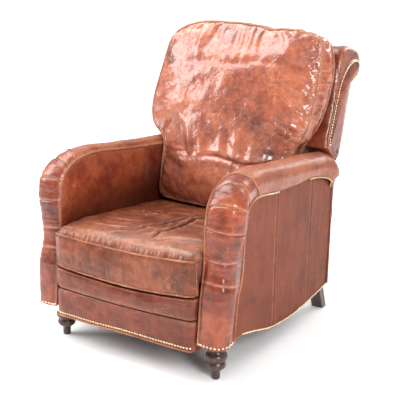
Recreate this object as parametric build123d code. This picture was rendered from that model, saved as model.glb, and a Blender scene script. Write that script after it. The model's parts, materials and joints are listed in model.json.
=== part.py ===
from build123d import *
import math
import os

# Push-back recliner armchair. Millimetres. +Z up, z = 0 on the floor, x = 0 in the middle of
# the chair, and the chair faces -Y. "left" is the sitter's left, which is +X.
os.makedirs("parts", exist_ok=True)

# ---------------------------------------------------------------- driving dimensions
SEAT_HALF = 290.0            # half width of the seat cushion and of the footrest
SEAT_FRONT = -522.0          # front face of the seat border and of the stowed footrest
SEAT_REAR = 135.0
SEAT_TOP_FRONT = 424.0
SEAT_TOP_REAR = 406.0
SEAT_UNDERSIDE = 339.0
SEAT_NOSE_BOTTOM = 298.0     # bottom edge of the seat's front border
SEAT_NOSE_T = 15.0
SEAT_EDGE_R = 14.0
FOOTREST_TOP = 292.0
FOOTREST_SEAM = 216.0        # seam between the two padded channels
FOOTREST_BOTTOM = 108.0
FOOTREST_BOARD_FRONT = -480.0
FOOTREST_BOARD_T = 15.0
CHANNEL_EDGE_R = 16.0
SEAM_GAP = 0.5               # half the gap between the two channels

ARM_INNER = 300.0            # inside face of an arm
ARM_SKIN = 6.0               # thickness of the padded inside arm panel
ARM_OUTER = 378.0            # outside face of an arm's side panel
ARM_PANEL_T = 10.0
ARM_BOARD_TOP = 590.0        # top of the wooden arm rail, where the arm pad rests
ARM_BOARD_T = 30.0
ARM_FRAME_X = 366.0          # outer face of the posts and of the arm rail
RAIL_X = 362.0               # outer face of the bottom rail
RAIL_BOTTOM = 152.0
RAIL_TOP = 200.0
RAIL_FRONT = -490.0
FRAME_REAR = 312.0
POST_FRONT = -350.0
POST_T = 48.0
RAIL_INNER = ARM_INNER + ARM_SKIN
STRETCHER_T = 24.0
STRETCHER_BOTTOM = 156.0
STRETCHER_TOP = 278.0
APRON_BOTTOM = 112.0
APRON_TOP = 276.0

TRACK_X = 236.0              # inner edge of a seat track
TRACK_W = 20.0
TRACK_T = 8.0
RUNNER_X = 240.0
RUNNER_W = 12.0
SEAT_RAIL_W = 36.0
SEAT_RAIL_BOTTOM = 300.0
SEAT_RAIL_TOP = 328.0
SEAT_FRAME_FRONT = -505.0
SEAT_FRAME_REAR = 122.0
DECK_Z = 334.0
DECK_T = 3.0

HINGE_Y = 230.0              # back hinge
HINGE_Z = 320.0
LIFT_A = (-328.0, 246.0)     # footrest linkage pivots, (y, z), footrest stowed
LIFT_B = (-249.0, 123.0)
LIFT_C = (-425.0, 254.0)
PIN_R = 5.0
HINGE_PIN_R = 6.0
RUNNING = 0.05               # radial clearance of a pin in the piece that turns on it
PRESSED = 0.02               # radial room left round a pin that is fixed in its plate
PLATE_T = 4.0                # thickness of the footrest's steel plates and links
REAR_LINK_X = 290.0          # inner faces of the links and brackets on the left side
FRONT_LINK_X = 284.0
PANEL_BRACKET_X = 278.0
MOUNT_X = 296.0

FOOT_X = 322.0
FOOT_Y = -443.0
LEG_X = 336.0
LEG_W = 46.0

SIDES = (("left", 1.0), ("right", -1.0))


# ---------------------------------------------------------------- helpers
def save(name, shape):
    """Write one node's solids to its STEP file."""
    solids = shape if isinstance(shape, list) else [shape]
    flat = []
    for item in solids:
        flat.extend(item.solids())
    out = flat[0] if len(flat) == 1 else Compound(children=flat)
    export_step(out, "parts/" + name + ".step")


def block(x0, x1, y0, y1, z0, z1):
    """Box between two corners."""
    size = (x1 - x0, y1 - y0, z1 - z0)
    centre = ((x0 + x1) / 2, (y0 + y1) / 2, (z0 + z1) / 2)
    return Pos(*centre) * Box(*size)


def flip(shape, s):
    """The shape itself for the left side, its mirror image for the right."""
    return shape if s > 0 else mirror(shape, about=Plane.YZ)


def side_solid(points, x0, x1):
    """Side profile of (y, z) points, extruded along X from x0 to x1."""
    wire = Wire(Polyline([Vector(x0, y, z) for y, z in points], close=True).edges())
    return extrude(Face(wire), amount=x1 - x0, dir=(1, 0, 0))


def lerp(table, z):
    """Linear interpolation in a table of (key, value) rows."""
    if z <= table[0][0]:
        return table[0][1]
    for (za, a), (zb, b) in zip(table, table[1:]):
        if z <= zb:
            return a + (b - a) * (z - za) / (zb - za)
    return table[-1][1]


def x_rod(y, z, r, x0, x1):
    """Round bar along X."""
    return Pos((x0 + x1) / 2, y, z) * Rot(0, 90, 0) * Cylinder(r, x1 - x0)


def link_plate(p, q, x0, x1, half_width, hole_p, hole_q):
    """Flat steel link with rounded ends and a hole at each end, in the plane of Y and Z."""
    dy = q[0] - p[0]
    dz = q[1] - p[1]
    length = math.hypot(dy, dz)
    ny = -dz / length * half_width
    nz = dy / length * half_width
    upper = [(p[0] + ny, p[1] + nz), (q[0] + ny, q[1] + nz)]
    lower = [(q[0] - ny, q[1] - nz), (p[0] - ny, p[1] - nz)]
    corners = upper + lower
    plate = side_solid(corners, x0, x1)
    plate = plate + x_rod(p[0], p[1], half_width, x0, x1) + x_rod(q[0], q[1], half_width, x0, x1)
    plate = plate - x_rod(p[0], p[1], hole_p, x0 - 1, x1 + 1)
    return plate - x_rod(q[0], q[1], hole_q, x0 - 1, x1 + 1)


def zigzag(length, swing, turns, width):
    """Zigzag (sinuous) spring lying along +Y from the origin, a square wire of one width."""
    half = width / 2
    step = length / turns
    centre = [(0.0, 0.0)]
    for i in range(turns):
        side = 1 if i % 2 == 0 else -1
        centre.append((side * swing, (i + 0.5) * step))
    centre.append((0.0, length))
    right = [(x + half * 1.4, y) for x, y in centre]
    left = [(x - half * 1.4, y) for x, y in reversed(centre)]
    pts = [Vector(x, y, -half) for x, y in right + left]
    return extrude(Face(Wire(Polyline(pts, close=True).edges())), amount=width, dir=(0, 0, 1))


# ---------------------------------------------------------------- feet and legs
# Height and radius: a small tip that flares into the ball, then the ring above the groove
FOOT_PROFILE = [(0, 12.5), (6, 14), (18, 14.2), (28, 16), (38, 27), (48, 33), (56, 32), (62, 29)]
FOOT_RING = [(68, 33), (78, 37), (87, 35.5), (95, 29), (110, 25), (130, 24), (152, 24)]


def turned_foot(s):
    """Turned bun foot: small tip, ball, neck, ring and a short stem under the rail."""
    ball = [Vector(r, 0, z) for z, r in FOOT_PROFILE]
    ring = [Vector(FOOT_PROFILE[-1][1], 0, FOOT_PROFILE[-1][0])] + [Vector(r, 0, z) for z, r in FOOT_RING]
    top = Vector(0, 0, FOOT_RING[-1][0])
    edges = [
        Line(Vector(0, 0, 0), ball[0]),
        Spline(ball),
        Spline(ring),
        Line(ring[-1], top),
        Line(top, Vector(0, 0, 0)),
    ]
    face = Face(Wire([e.edge() for e in edges]))
    return Pos(FOOT_X * s, FOOT_Y, 0) * revolve(face, axis=Axis.Z)


LEG_FRONT = [(330, 0), (312, 40), (290, 90), (268, 152)]
LEG_REAR = [(306, 152), (326, 95), (346, 45), (364, 0)]


def sabre_leg():
    """Square wooden leg that sweeps backwards to the floor."""
    inner_x = LEG_X - LEG_W / 2
    front = Spline([Vector(inner_x, y, z) for y, z in LEG_FRONT])
    top = Line(front @ 1, Vector(inner_x, *LEG_REAR[0]))
    rear = Spline([Vector(inner_x, y, z) for y, z in LEG_REAR])
    foot = Line(rear @ 1, front @ 0)
    face = Face(Wire([front.edge(), top.edge(), rear.edge(), foot.edge()]))
    return extrude(face, amount=LEG_W, dir=(1, 0, 0))


# ---------------------------------------------------------------- arms
# Plan sections of the arm's front: height, inner front y, bow, widest x, rear welt y
ARM_FRONT_ROWS = [
    (138, -518, 10, 396, -436),
    (215, -514, 12, 408, -424),
    (280, -507, 13, 409, -413),
    (340, -498, 12, 397, -394),
    (390, -492, 11, 393, -386),
    (450, -488, 12, 403, -383),
    (510, -488, 13, 413, -378),
    (555, -483, 13, 414, -362),
    (590, -474, 12, 408, -352),
]


def arm_front_face(row):
    """Plan outline of the arm's front roll at one height."""
    z, y_in, bow, x_out, y_welt = row
    mid = (ARM_INNER + x_out) / 2
    pts = [
        Vector(ARM_INNER, y_in, z),
        Vector(mid - 8, y_in - bow, z),
        Vector(x_out - 12, y_in + 4, z),
        Vector(x_out, y_in + 36, z),
        Vector(ARM_OUTER + 2, y_welt, z),
    ]
    front = Spline(pts)
    back = Line(pts[-1], Vector(ARM_INNER, y_welt, z))
    inner = Line(Vector(ARM_INNER, y_welt, z), pts[0])
    return Face(Wire([front.edge(), back.edge(), inner.edge()]))


# Cross-sections of the arm pad along Y: y, crest height, outer x
ARM_PAD_ROWS = [
    (-480, 622, 378),
    (-466, 645, 386),
    (-440, 664, 392),
    (-400, 679, 394),
    (-330, 685, 393),
    (-190, 677, 391),
    (-20, 668, 391),
    (110, 668, 395),
    (200, 665, 402),
    (250, 656, 408),
    (290, 640, 409),
    (316, 620, 402),
    (328, 606, 392),
]


def arm_pad_face(row):
    """Cross-section of the padded roll on top of the arm at one station along Y."""
    y, z_top, x_out = row
    z0 = ARM_BOARD_TOP
    height = z_top - z0
    mid = (ARM_INNER + x_out) / 2
    pts = [
        Vector(ARM_INNER + 2, y, z0),
        Vector(ARM_INNER + 3, y, z0 + height * 0.55),
        Vector(ARM_INNER + 20, y, z0 + height * 0.88),
        Vector(mid, y, z_top),
        Vector(x_out - 16, y, z0 + height * 0.82),
        Vector(x_out, y, z0 + height * 0.40),
        Vector(x_out - 14, y, z0),
    ]
    return Face(Wire([Spline(pts).edge(), Line(pts[-1], pts[0]).edge()]))


PANEL_GAP = 3.0
PANEL_BOTTOM = [
    (-292, 121), (-230, 104), (-166, 91), (-90, 84), (-7, 82),
    (60, 86), (121, 93), (220, 103), (314, 110),
]
PANEL_WELT = [(row[4] + PANEL_GAP, row[0]) for row in ARM_FRONT_ROWS]
OUTSIDE_PANEL = [(-360, 133)] + PANEL_BOTTOM + [(314, 588), (PANEL_WELT[-1][0], 588)] + PANEL_WELT[-2::-1]

REAR_BAND = [
    (314, 156), (322, 160), (324, 230), (327, 290), (338, 350),
    (344, 430), (346, 510), (342, 560), (332, 588), (314, 588),
]


# ---------------------------------------------------------------- back
# (z, y) lines of the back's inside face and of its outside face
BACK_FRONT = [(290, 150), (440, 188), (680, 234), (800, 268), (897, 303), (1030, 340)]
BACK_REAR = [(328, 310), (612, 345), (905, 424)]
PAD_T = 20.0
COVER_T = 5.0
FACING_T = 12.0
BACK_NARROW = 284.0          # half width between the arms
BACK_WIDE = 372.0            # half width above the arms
WIDE_FRONT_Z = 680.0         # where the wide part starts, at its front
WIDE_REAR_Z = 612.0
BACK_JOIN_Z = 905.0          # the scroll starts here


def strip(table, z0, z1, offset0, offset1):
    """Side profile of a slab that follows a (z, y) table between two offsets in y."""
    zs = [z0] + [z for z, _ in table if z0 < z < z1] + [z1]
    near = [(lerp(table, z) + offset0, z) for z in zs]
    far = [(lerp(table, z) + offset1, z) for z in reversed(zs)]
    return near + far


SCROLL_Y = 462.0             # axis of the roll along the back's top
SCROLL_Z = 966.0
SCROLL_R = 65.0


def scroll_profile():
    """Side outline of the scroll, from its front bottom over the top and round the roll."""
    pts = [(307, 905), (318, 942), (330, 985), (343, 1028), (364, 1042), (400, 1044), (444, 1037)]
    for degrees in range(70, -111, -15):
        angle = math.radians(degrees)
        pts.append((SCROLL_Y + SCROLL_R * math.cos(angle), SCROLL_Z + SCROLL_R * math.sin(angle)))
    pts.append((424, 905))
    return pts


SCROLL = scroll_profile()

# (y, z) front and top of the pillow in side view
BACK_CUSHION_SIDE = [
    (88, 436), (100, 540), (122, 660), (146, 780), (164, 880), (184, 970), (204, 1040), (228, 1092),
    (258, 1121), (292, 1122), (320, 1100), (332, 1062), (333, 1026),
]
# Height and half width of the pillow, from its bottom to its top
CUSHION_HALF = [
    (436, 256), (446, 264), (480, 272), (560, 280), (640, 285), (668, 287),
    (684, 300), (712, 332), (760, 350), (840, 356), (940, 352), (1010, 344),
    (1050, 330), (1085, 302), (1106, 250), (1120, 170), (1124, 80),
]


PILLOW_CLEARANCE = 2.0       # between the pillow and the back's inside face
CUTTER_HALF = 400.0          # wider than any part of the chair
CUTTER_FRONT = -300.0
CUTTER_DEPTH = 1200.0


def back_cushion():
    """Loose T-shaped back pillow: a side profile cut to its front outline."""
    rear = [(lerp(BACK_FRONT, z) - PILLOW_CLEARANCE, z) for z in (1020, 897, 800, 680, 550, 436)]
    side = side_solid(BACK_CUSHION_SIDE + rear, -CUTTER_HALF, CUTTER_HALF)
    right = [(x, z) for z, x in CUSHION_HALF]
    left = [(-x, z) for x, z in reversed(right)]
    pts = [Vector(x, CUTTER_FRONT, z) for x, z in right + left]
    outline = Face(Wire(Polyline(pts, close=True).edges()))
    return side & extrude(outline, amount=CUTTER_DEPTH, dir=(0, 1, 0))


# ---------------------------------------------------------------- nails
NAIL_R = 4.3
NAIL_H = 2.4
NAIL_PITCH = 11.0


def nail_head():
    """Nail head with a bevelled rim that stands on the plane X = 0 and points along +X."""
    return Pos(NAIL_H / 2, 0, 0) * Rot(0, 90, 0) * Cone(NAIL_R, NAIL_R * 0.45, NAIL_H)


def along(points, pitch):
    """Points spaced evenly along a (y, z) polyline, both ends included."""
    runs = [math.dist(a, b) for a, b in zip(points, points[1:])]
    total = sum(runs)
    count = max(1, round(total / pitch))
    out = []
    for i in range(count + 1):
        left = total * i / count
        k = 0
        while k < len(runs) - 1 and left > runs[k]:
            left -= runs[k]
            k += 1
        t = min(1.0, left / runs[k])
        a, b = points[k], points[k + 1]
        out.append((a[0] + (b[0] - a[0]) * t, a[1] + (b[1] - a[1]) * t))
    return out


# (y, z) line of nails up the front of a facing, round the scroll and down its rear
FACING_NAILS = [
    (262, 694), (266, 727), (294, 801), (330, 894), (356, 928), (388, 959),
    (425, 980), (465, 988), (494, 982), (507, 962), (494, 936), (465, 920),
    (424, 900), (412, 872), (373, 758), (347, 662),
]

# ---------------------------------------------------------------- build: base
for side, s in SIDES:
    save("front_foot_" + side, turned_foot(s))
    save("rear_leg_" + side, flip(sabre_leg(), s))

rail_pocket = block(ARM_INNER - 5, RAIL_X, RAIL_FRONT, -300, 130, RAIL_TOP)
arm_front = loft([arm_front_face(row) for row in ARM_FRONT_ROWS], ruled=True) - rail_pocket
arm_pad = loft([arm_pad_face(row) for row in ARM_PAD_ROWS], ruled=True)
outside_panel = side_solid(OUTSIDE_PANEL, ARM_OUTER - ARM_PANEL_T, ARM_OUTER)
rear_band = side_solid(REAR_BAND, RAIL_INNER, ARM_OUTER)
inside_arm = block(ARM_INNER, RAIL_INNER, POST_FRONT, FRAME_REAR, HINGE_Z - 28, ARM_BOARD_TOP)
bottom_rail = block(RAIL_INNER, RAIL_X, RAIL_FRONT, FRAME_REAR, RAIL_BOTTOM, RAIL_TOP)
board_bottom = ARM_BOARD_TOP - ARM_BOARD_T
front_post = block(RAIL_INNER, ARM_FRAME_X, POST_FRONT, POST_FRONT + POST_T, RAIL_TOP, board_bottom)
rear_post = block(RAIL_INNER, ARM_FRAME_X, FRAME_REAR - POST_T, FRAME_REAR, RAIL_TOP, board_bottom)
arm_rail = block(RAIL_INNER, ARM_FRAME_X, POST_FRONT, FRAME_REAR, board_bottom, ARM_BOARD_TOP)

for side, s in SIDES:
    save("arm_front_roll_" + side, flip(arm_front, s))
    save("arm_pad_" + side, flip(arm_pad, s))
    save("outside_arm_panel_" + side, flip(outside_panel, s))
    save("inside_arm_panel_" + side, flip(inside_arm, s))
    save("arm_rear_band_" + side, flip(rear_band, s))
    save("bottom_rail_" + side, flip(bottom_rail, s))

save("arm_rails", [flip(arm_rail, s) for _, s in SIDES])
save("front_posts", [flip(front_post, s) for _, s in SIDES])
save("rear_posts", [flip(rear_post, s) for _, s in SIDES])


def stretcher(y0, y1, z0, z1):
    """Board between the two bottom rails."""
    return block(-RAIL_INNER, RAIL_INNER, y0, y1, z0, z1)


FRONT_STRETCHER_Y = -212.0
REAR_STRETCHER_Y = 98.0
APRON_FRONT = 300.0
APRON_REAR = 314.0
front_rear = FRONT_STRETCHER_Y + STRETCHER_T
rear_rear = REAR_STRETCHER_Y + STRETCHER_T
save("front_stretcher", stretcher(FRONT_STRETCHER_Y, front_rear, STRETCHER_BOTTOM, STRETCHER_TOP))
save("rear_stretcher", stretcher(REAR_STRETCHER_Y, rear_rear, STRETCHER_BOTTOM, STRETCHER_TOP))
save("rear_apron", stretcher(APRON_FRONT, APRON_REAR, APRON_BOTTOM, APRON_TOP))

TRACK_FRONT = -430.0
TRACK_REAR = 118.0
track = block(TRACK_X, TRACK_X + TRACK_W, TRACK_FRONT, TRACK_REAR, STRETCHER_TOP, STRETCHER_TOP + TRACK_T)
save("seat_tracks", [flip(track, s) for _, s in SIDES])

# The bracket is a plate inside the arm with a foot that reaches out to the bottom rail
BRACKET_FRONT = -362.0
BRACKET_REAR = -216.0
BRACKET_BOTTOM = 160.0
bracket_plate = block(MOUNT_X, ARM_INNER, BRACKET_FRONT, BRACKET_REAR, BRACKET_BOTTOM, 276)
bracket_foot = block(ARM_INNER, RAIL_INNER, BRACKET_FRONT, BRACKET_REAR, BRACKET_BOTTOM, 196)
lift_bracket = bracket_plate + bracket_foot
lift_bracket = lift_bracket - x_rod(*LIFT_A, PIN_R + PRESSED, MOUNT_X - 6, RAIL_INNER + 4)
mount_pin = x_rod(*LIFT_A, PIN_R, REAR_LINK_X - 0.5, ARM_INNER)
save("footrest_mount_brackets", [flip(lift_bracket, s) for _, s in SIDES])
save("footrest_mount_pins", [flip(mount_pin, s) for _, s in SIDES])

HINGE_BRACKET_T = 6.0
HINGE_BRACKET_HALF = 34.0
hinge_bracket = block(
    ARM_INNER - HINGE_BRACKET_T, ARM_INNER, HINGE_Y - HINGE_BRACKET_HALF, HINGE_Y + HINGE_BRACKET_HALF,
    HINGE_Z - 24, HINGE_Z + 100
)
hinge_bracket = hinge_bracket - x_rod(HINGE_Y, HINGE_Z, HINGE_PIN_R + PRESSED, 280, 310)
hinge_pin = x_rod(HINGE_Y, HINGE_Z, HINGE_PIN_R, BACK_NARROW + 0.5, ARM_INNER)
save("back_hinge_brackets", [flip(hinge_bracket, s) for _, s in SIDES])
save("back_hinge_pins", [flip(hinge_pin, s) for _, s in SIDES])

nail = nail_head()
SKIRT_NAIL_LIFT = 8          # how far the nail row stands above the panel's bottom edge
skirt_edge = [(-424, 141), (-360, 133)] + PANEL_BOTTOM[:-1] + [(306, 110)]
skirt_row = along([(y, z + SKIRT_NAIL_LIFT) for y, z in skirt_edge], NAIL_PITCH)
skirt_nails = [Pos(ARM_OUTER, y, z) * nail for y, z in skirt_row]
save("skirt_nails", [flip(n, s) for _, s in SIDES for n in skirt_nails])

# ---------------------------------------------------------------- build: footrest linkage
REAR_LINK_HALF = 12.0
FRONT_LINK_HALF = 11.0
rear_link = link_plate(
    LIFT_A, LIFT_B, REAR_LINK_X, REAR_LINK_X + PLATE_T, REAR_LINK_HALF, PIN_R + RUNNING, PIN_R + PRESSED
)
front_link = link_plate(
    LIFT_B, LIFT_C, FRONT_LINK_X, FRONT_LINK_X + PLATE_T, FRONT_LINK_HALF, PIN_R + RUNNING, PIN_R + PRESSED
)
knee_pin = x_rod(*LIFT_B, PIN_R, FRONT_LINK_X - 0.5, REAR_LINK_X + PLATE_T)
panel_pin = x_rod(*LIFT_C, PIN_R, PANEL_BRACKET_X - 0.5, FRONT_LINK_X + PLATE_T)
save("footrest_rear_links", [flip(rear_link, s) for _, s in SIDES])
save("footrest_front_links", [flip(front_link, s) for _, s in SIDES])
save("footrest_knee_pins", [flip(knee_pin, s) for _, s in SIDES])
save("footrest_panel_pins", [flip(panel_pin, s) for _, s in SIDES])

TORQUE_TUBE_R = 9.0
TIE_BAR_R = 8.0
mid_ab = ((LIFT_A[0] + LIFT_B[0]) / 2, (LIFT_A[1] + LIFT_B[1]) / 2)
mid_bc = ((LIFT_B[0] + LIFT_C[0]) / 2, (LIFT_B[1] + LIFT_C[1]) / 2)
save("footrest_torque_tube", x_rod(*mid_ab, TORQUE_TUBE_R, -REAR_LINK_X, REAR_LINK_X))
save("footrest_tie_bar", x_rod(*mid_bc, TIE_BAR_R, -FRONT_LINK_X, FRONT_LINK_X))

BOARD_REAR = FOOTREST_BOARD_FRONT + FOOTREST_BOARD_T
BOARD_HALF = 284.0
BOARD_INSET = 6.0
bracket_outline = [(BOARD_REAR, 196), (-438, 236), (-410, 246), (-410, 262), (-438, 278), (BOARD_REAR, 284)]
panel_bracket = side_solid(bracket_outline, PANEL_BRACKET_X, PANEL_BRACKET_X + PLATE_T)
panel_bracket = panel_bracket - x_rod(*LIFT_C, PIN_R + RUNNING, PANEL_BRACKET_X - 8, PANEL_BRACKET_X + 12)
save("footrest_panel_brackets", [flip(panel_bracket, s) for _, s in SIDES])
board = block(
    -BOARD_HALF, BOARD_HALF, FOOTREST_BOARD_FRONT, BOARD_REAR,
    FOOTREST_BOTTOM + BOARD_INSET, FOOTREST_TOP - BOARD_INSET
)
save("footrest_board", board)


def channel(z0, z1):
    """One horizontal padded channel of the footrest."""
    pad = block(-SEAT_HALF, SEAT_HALF, SEAT_FRONT, FOOTREST_BOARD_FRONT, z0, z1)
    return fillet(pad.edges().filter_by(Axis.X).group_by(Axis.Y)[0], CHANNEL_EDGE_R)


save("footrest_channel_upper", channel(FOOTREST_SEAM + SEAM_GAP, FOOTREST_TOP))
save("footrest_channel_lower", channel(FOOTREST_BOTTOM, FOOTREST_SEAM - SEAM_GAP))

FOOTREST_NAIL_Z = FOOTREST_BOTTOM + 17
NAIL_ROW_HALF = SEAT_HALF - 12
nail_forward = Rot(0, 0, -90) * nail
nail_count = round(2 * NAIL_ROW_HALF / NAIL_PITCH)
nail_step = 2 * NAIL_ROW_HALF / nail_count
footrest_nails = []
for i in range(nail_count + 1):
    footrest_nails.append(Pos(-NAIL_ROW_HALF + i * nail_step, SEAT_FRONT, FOOTREST_NAIL_Z) * nail_forward)
save("footrest_nails", footrest_nails)

# ---------------------------------------------------------------- build: seat
SEAT_RAIL_HALF = RUNNER_X + SEAT_RAIL_W
SIDE_RAIL_FRONT = -480.0
SIDE_RAIL_REAR = 100.0
SLIDE_GAP = 0.6              # between a runner and its track


def seat_rail(x0, x1, y0, y1):
    """One rail of the seat frame."""
    return block(x0, x1, y0, y1, SEAT_RAIL_BOTTOM, SEAT_RAIL_TOP)


side_rail = seat_rail(RUNNER_X, SEAT_RAIL_HALF, SIDE_RAIL_FRONT, SIDE_RAIL_REAR)
front_rail = seat_rail(-SEAT_RAIL_HALF, SEAT_RAIL_HALF, SEAT_FRAME_FRONT, SIDE_RAIL_FRONT)
back_rail = seat_rail(-SEAT_RAIL_HALF, SEAT_RAIL_HALF, SIDE_RAIL_REAR, SEAT_FRAME_REAR)
runner_bottom = STRETCHER_TOP + TRACK_T + SLIDE_GAP
runner = block(RUNNER_X, RUNNER_X + RUNNER_W, -400, 60, runner_bottom, SEAT_RAIL_BOTTOM)
save("seat_side_rails", [flip(side_rail, s) for _, s in SIDES])
save("seat_cross_rails", [front_rail, back_rail])
save("seat_runners", [flip(runner, s) for _, s in SIDES])

SPRING_WIRE = 3.8
SPRING_SWING = 20.0
SEAT_SPRING_RUN = 602.0
SEAT_SPRING_TURNS = 17
seat_spring = zigzag(SEAT_SPRING_RUN, SPRING_SWING, SEAT_SPRING_TURNS, SPRING_WIRE)
SEAT_SPRING_X = (-190, -115, -38, 38, 115, 190)
SEAT_SPRING_Y = -492.0
save("seat_springs", [Pos(x, SEAT_SPRING_Y, SEAT_RAIL_TOP + 2.5) * seat_spring for x in SEAT_SPRING_X])
save("seat_deck", block(-272, 272, SEAT_FRAME_FRONT + 2, SEAT_FRAME_REAR - 2, DECK_Z, DECK_Z + DECK_T))

nose_rear = SEAT_FRONT + SEAT_NOSE_T
seat_profile = [
    (SEAT_FRONT, SEAT_NOSE_BOTTOM), (nose_rear, SEAT_NOSE_BOTTOM), (nose_rear, SEAT_UNDERSIDE),
    (SEAT_REAR, SEAT_UNDERSIDE), (SEAT_REAR, SEAT_TOP_REAR), (SEAT_FRONT + 60, SEAT_TOP_FRONT + 4),
    (SEAT_FRONT, SEAT_TOP_FRONT),
]
seat_cushion = side_solid(seat_profile, -SEAT_HALF, SEAT_HALF)
seat_cushion = fillet(seat_cushion.edges().filter_by(Axis.X).group_by(Axis.Z)[-2], SEAT_EDGE_R)
save("seat_cushion", seat_cushion)

# ---------------------------------------------------------------- build: back
STILE_W = 36.0
STILE_T = 45.0
BACK_FRAME_TOP = 897.0
PAD_BOTTOM = 290.0
stile_inner = BACK_NARROW - STILE_W
frame_front = PAD_T + 2
frame_rear = frame_front + STILE_T
stile_slab = strip(BACK_FRONT, PAD_BOTTOM + 2, BACK_FRAME_TOP, frame_front, frame_rear)
stile = side_solid(stile_slab, stile_inner, BACK_NARROW)
bottom_slab = strip(BACK_FRONT, PAD_BOTTOM + 2, 345, frame_front, frame_rear)
top_slab = strip(BACK_FRONT, 850, BACK_FRAME_TOP, frame_front, frame_rear)
save("back_stiles", [flip(stile, s) for _, s in SIDES])
save("back_bottom_rail", side_solid(bottom_slab, -stile_inner, stile_inner))
save("back_top_rail", side_solid(top_slab, -stile_inner, stile_inner))

pad_low = side_solid(strip(BACK_FRONT, PAD_BOTTOM, WIDE_FRONT_Z + 30, 0, PAD_T), -BACK_NARROW, BACK_NARROW)
pad_high = side_solid(strip(BACK_FRONT, WIDE_FRONT_Z, BACK_JOIN_Z, 0, PAD_T), -BACK_WIDE, BACK_WIDE)
save("inside_back_pad", pad_low + pad_high)

WING_GAP = 6.0               # room for the hinge plate between stile and wing
wing_front_y0 = lerp(BACK_FRONT, WIDE_FRONT_Z) + PAD_T
wing_front_y1 = lerp(BACK_FRONT, BACK_JOIN_Z) + PAD_T
wing = side_solid(
    [
        (wing_front_y0, WIDE_FRONT_Z),
        (lerp(BACK_FRONT, BACK_FRAME_TOP) + PAD_T, BACK_FRAME_TOP),
        (wing_front_y1, BACK_JOIN_Z),
        (lerp(BACK_REAR, BACK_JOIN_Z) - COVER_T, BACK_JOIN_Z),
        (lerp(BACK_REAR, WIDE_REAR_Z) - COVER_T, WIDE_REAR_Z),
    ],
    BACK_NARROW + WING_GAP,
    BACK_WIDE,
)
cover_low = side_solid(strip(BACK_REAR, 328, WIDE_REAR_Z + 20, -COVER_T, 0), -BACK_NARROW, BACK_NARROW)
cover_high = side_solid(strip(BACK_REAR, WIDE_REAR_Z, BACK_JOIN_Z, -COVER_T, 0), -BACK_WIDE, BACK_WIDE)
save("outside_back_cover", cover_low + cover_high)
save("back_lower_apron", block(-BACK_NARROW, BACK_NARROW, 273, 279, 252, 326))
save("back_scroll", side_solid(SCROLL, -BACK_WIDE, BACK_WIDE))

facing_profile = [(lerp(BACK_FRONT, z), z) for z in (WIDE_FRONT_Z, 780, BACK_FRAME_TOP)] + SCROLL
facing_profile = facing_profile + [(lerp(BACK_REAR, z), z) for z in (880, 800, WIDE_REAR_Z)]
facing = side_solid(facing_profile, BACK_WIDE, BACK_WIDE + FACING_T)
for side, s in SIDES:
    save("back_wing_" + side, flip(wing, s))
    save("back_facing_" + side, flip(facing, s))

SPRING_LOW_Z = 347.0
SPRING_HIGH_Z = 848.0
SPRING_SET_BACK = 30.0       # from the pad's rear face to the springs
BACK_SPRING_TURNS = 15
BACK_SPRING_X = (-180, -90, 0, 90, 180)
spring_low_y = lerp(BACK_FRONT, SPRING_LOW_Z) + PAD_T + SPRING_SET_BACK
spring_high_y = lerp(BACK_FRONT, SPRING_HIGH_Z) + PAD_T + SPRING_SET_BACK
spring_run = math.hypot(spring_high_y - spring_low_y, SPRING_HIGH_Z - SPRING_LOW_Z)
spring_rake = math.degrees(math.atan2(SPRING_HIGH_Z - SPRING_LOW_Z, spring_high_y - spring_low_y))
facing_nails = [Pos(BACK_WIDE + FACING_T, y, z) * nail for y, z in along(FACING_NAILS, NAIL_PITCH)]
save("back_facing_nails", [flip(n, s) for _, s in SIDES for n in facing_nails])

back_spring = Rot(spring_rake, 0, 0) * zigzag(spring_run, SPRING_SWING, BACK_SPRING_TURNS, SPRING_WIRE)
save("back_springs", [Pos(x, spring_low_y, SPRING_LOW_Z) * back_spring for x in BACK_SPRING_X])

HINGE_PLATE_T = 6.0
HINGE_PLATE = [(205, 296), (252, 296), (252, 345), (268, 470), (222, 470), (205, 345)]
plate = side_solid(HINGE_PLATE, BACK_NARROW, BACK_NARROW + HINGE_PLATE_T)
plate = plate - x_rod(HINGE_Y, HINGE_Z, HINGE_PIN_R + RUNNING, 270, 310)
save("back_hinge_plates", [flip(plate, s) for _, s in SIDES])
save("back_cushion", back_cushion())
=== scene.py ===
import json
import math
import random

import bpy
import numpy as np
from mathutils import Matrix, Vector
from mathutils.bvhtree import BVHTree


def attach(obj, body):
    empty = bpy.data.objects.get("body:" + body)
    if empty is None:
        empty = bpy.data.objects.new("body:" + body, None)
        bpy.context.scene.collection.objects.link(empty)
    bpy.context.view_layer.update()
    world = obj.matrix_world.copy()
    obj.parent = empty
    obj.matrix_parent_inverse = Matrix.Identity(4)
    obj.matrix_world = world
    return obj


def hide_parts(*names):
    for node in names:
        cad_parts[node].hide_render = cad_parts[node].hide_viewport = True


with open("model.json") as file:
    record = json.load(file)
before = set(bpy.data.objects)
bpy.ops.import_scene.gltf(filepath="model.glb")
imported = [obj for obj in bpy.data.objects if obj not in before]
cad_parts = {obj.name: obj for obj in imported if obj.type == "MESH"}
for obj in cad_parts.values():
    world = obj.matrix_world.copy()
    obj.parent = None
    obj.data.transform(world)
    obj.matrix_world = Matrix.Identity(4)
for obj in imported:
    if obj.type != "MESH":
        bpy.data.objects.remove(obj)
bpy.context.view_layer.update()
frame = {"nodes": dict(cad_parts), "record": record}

NODES = frame["nodes"]
SIDES = (("left", 1.0), ("right", -1.0))


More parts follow.
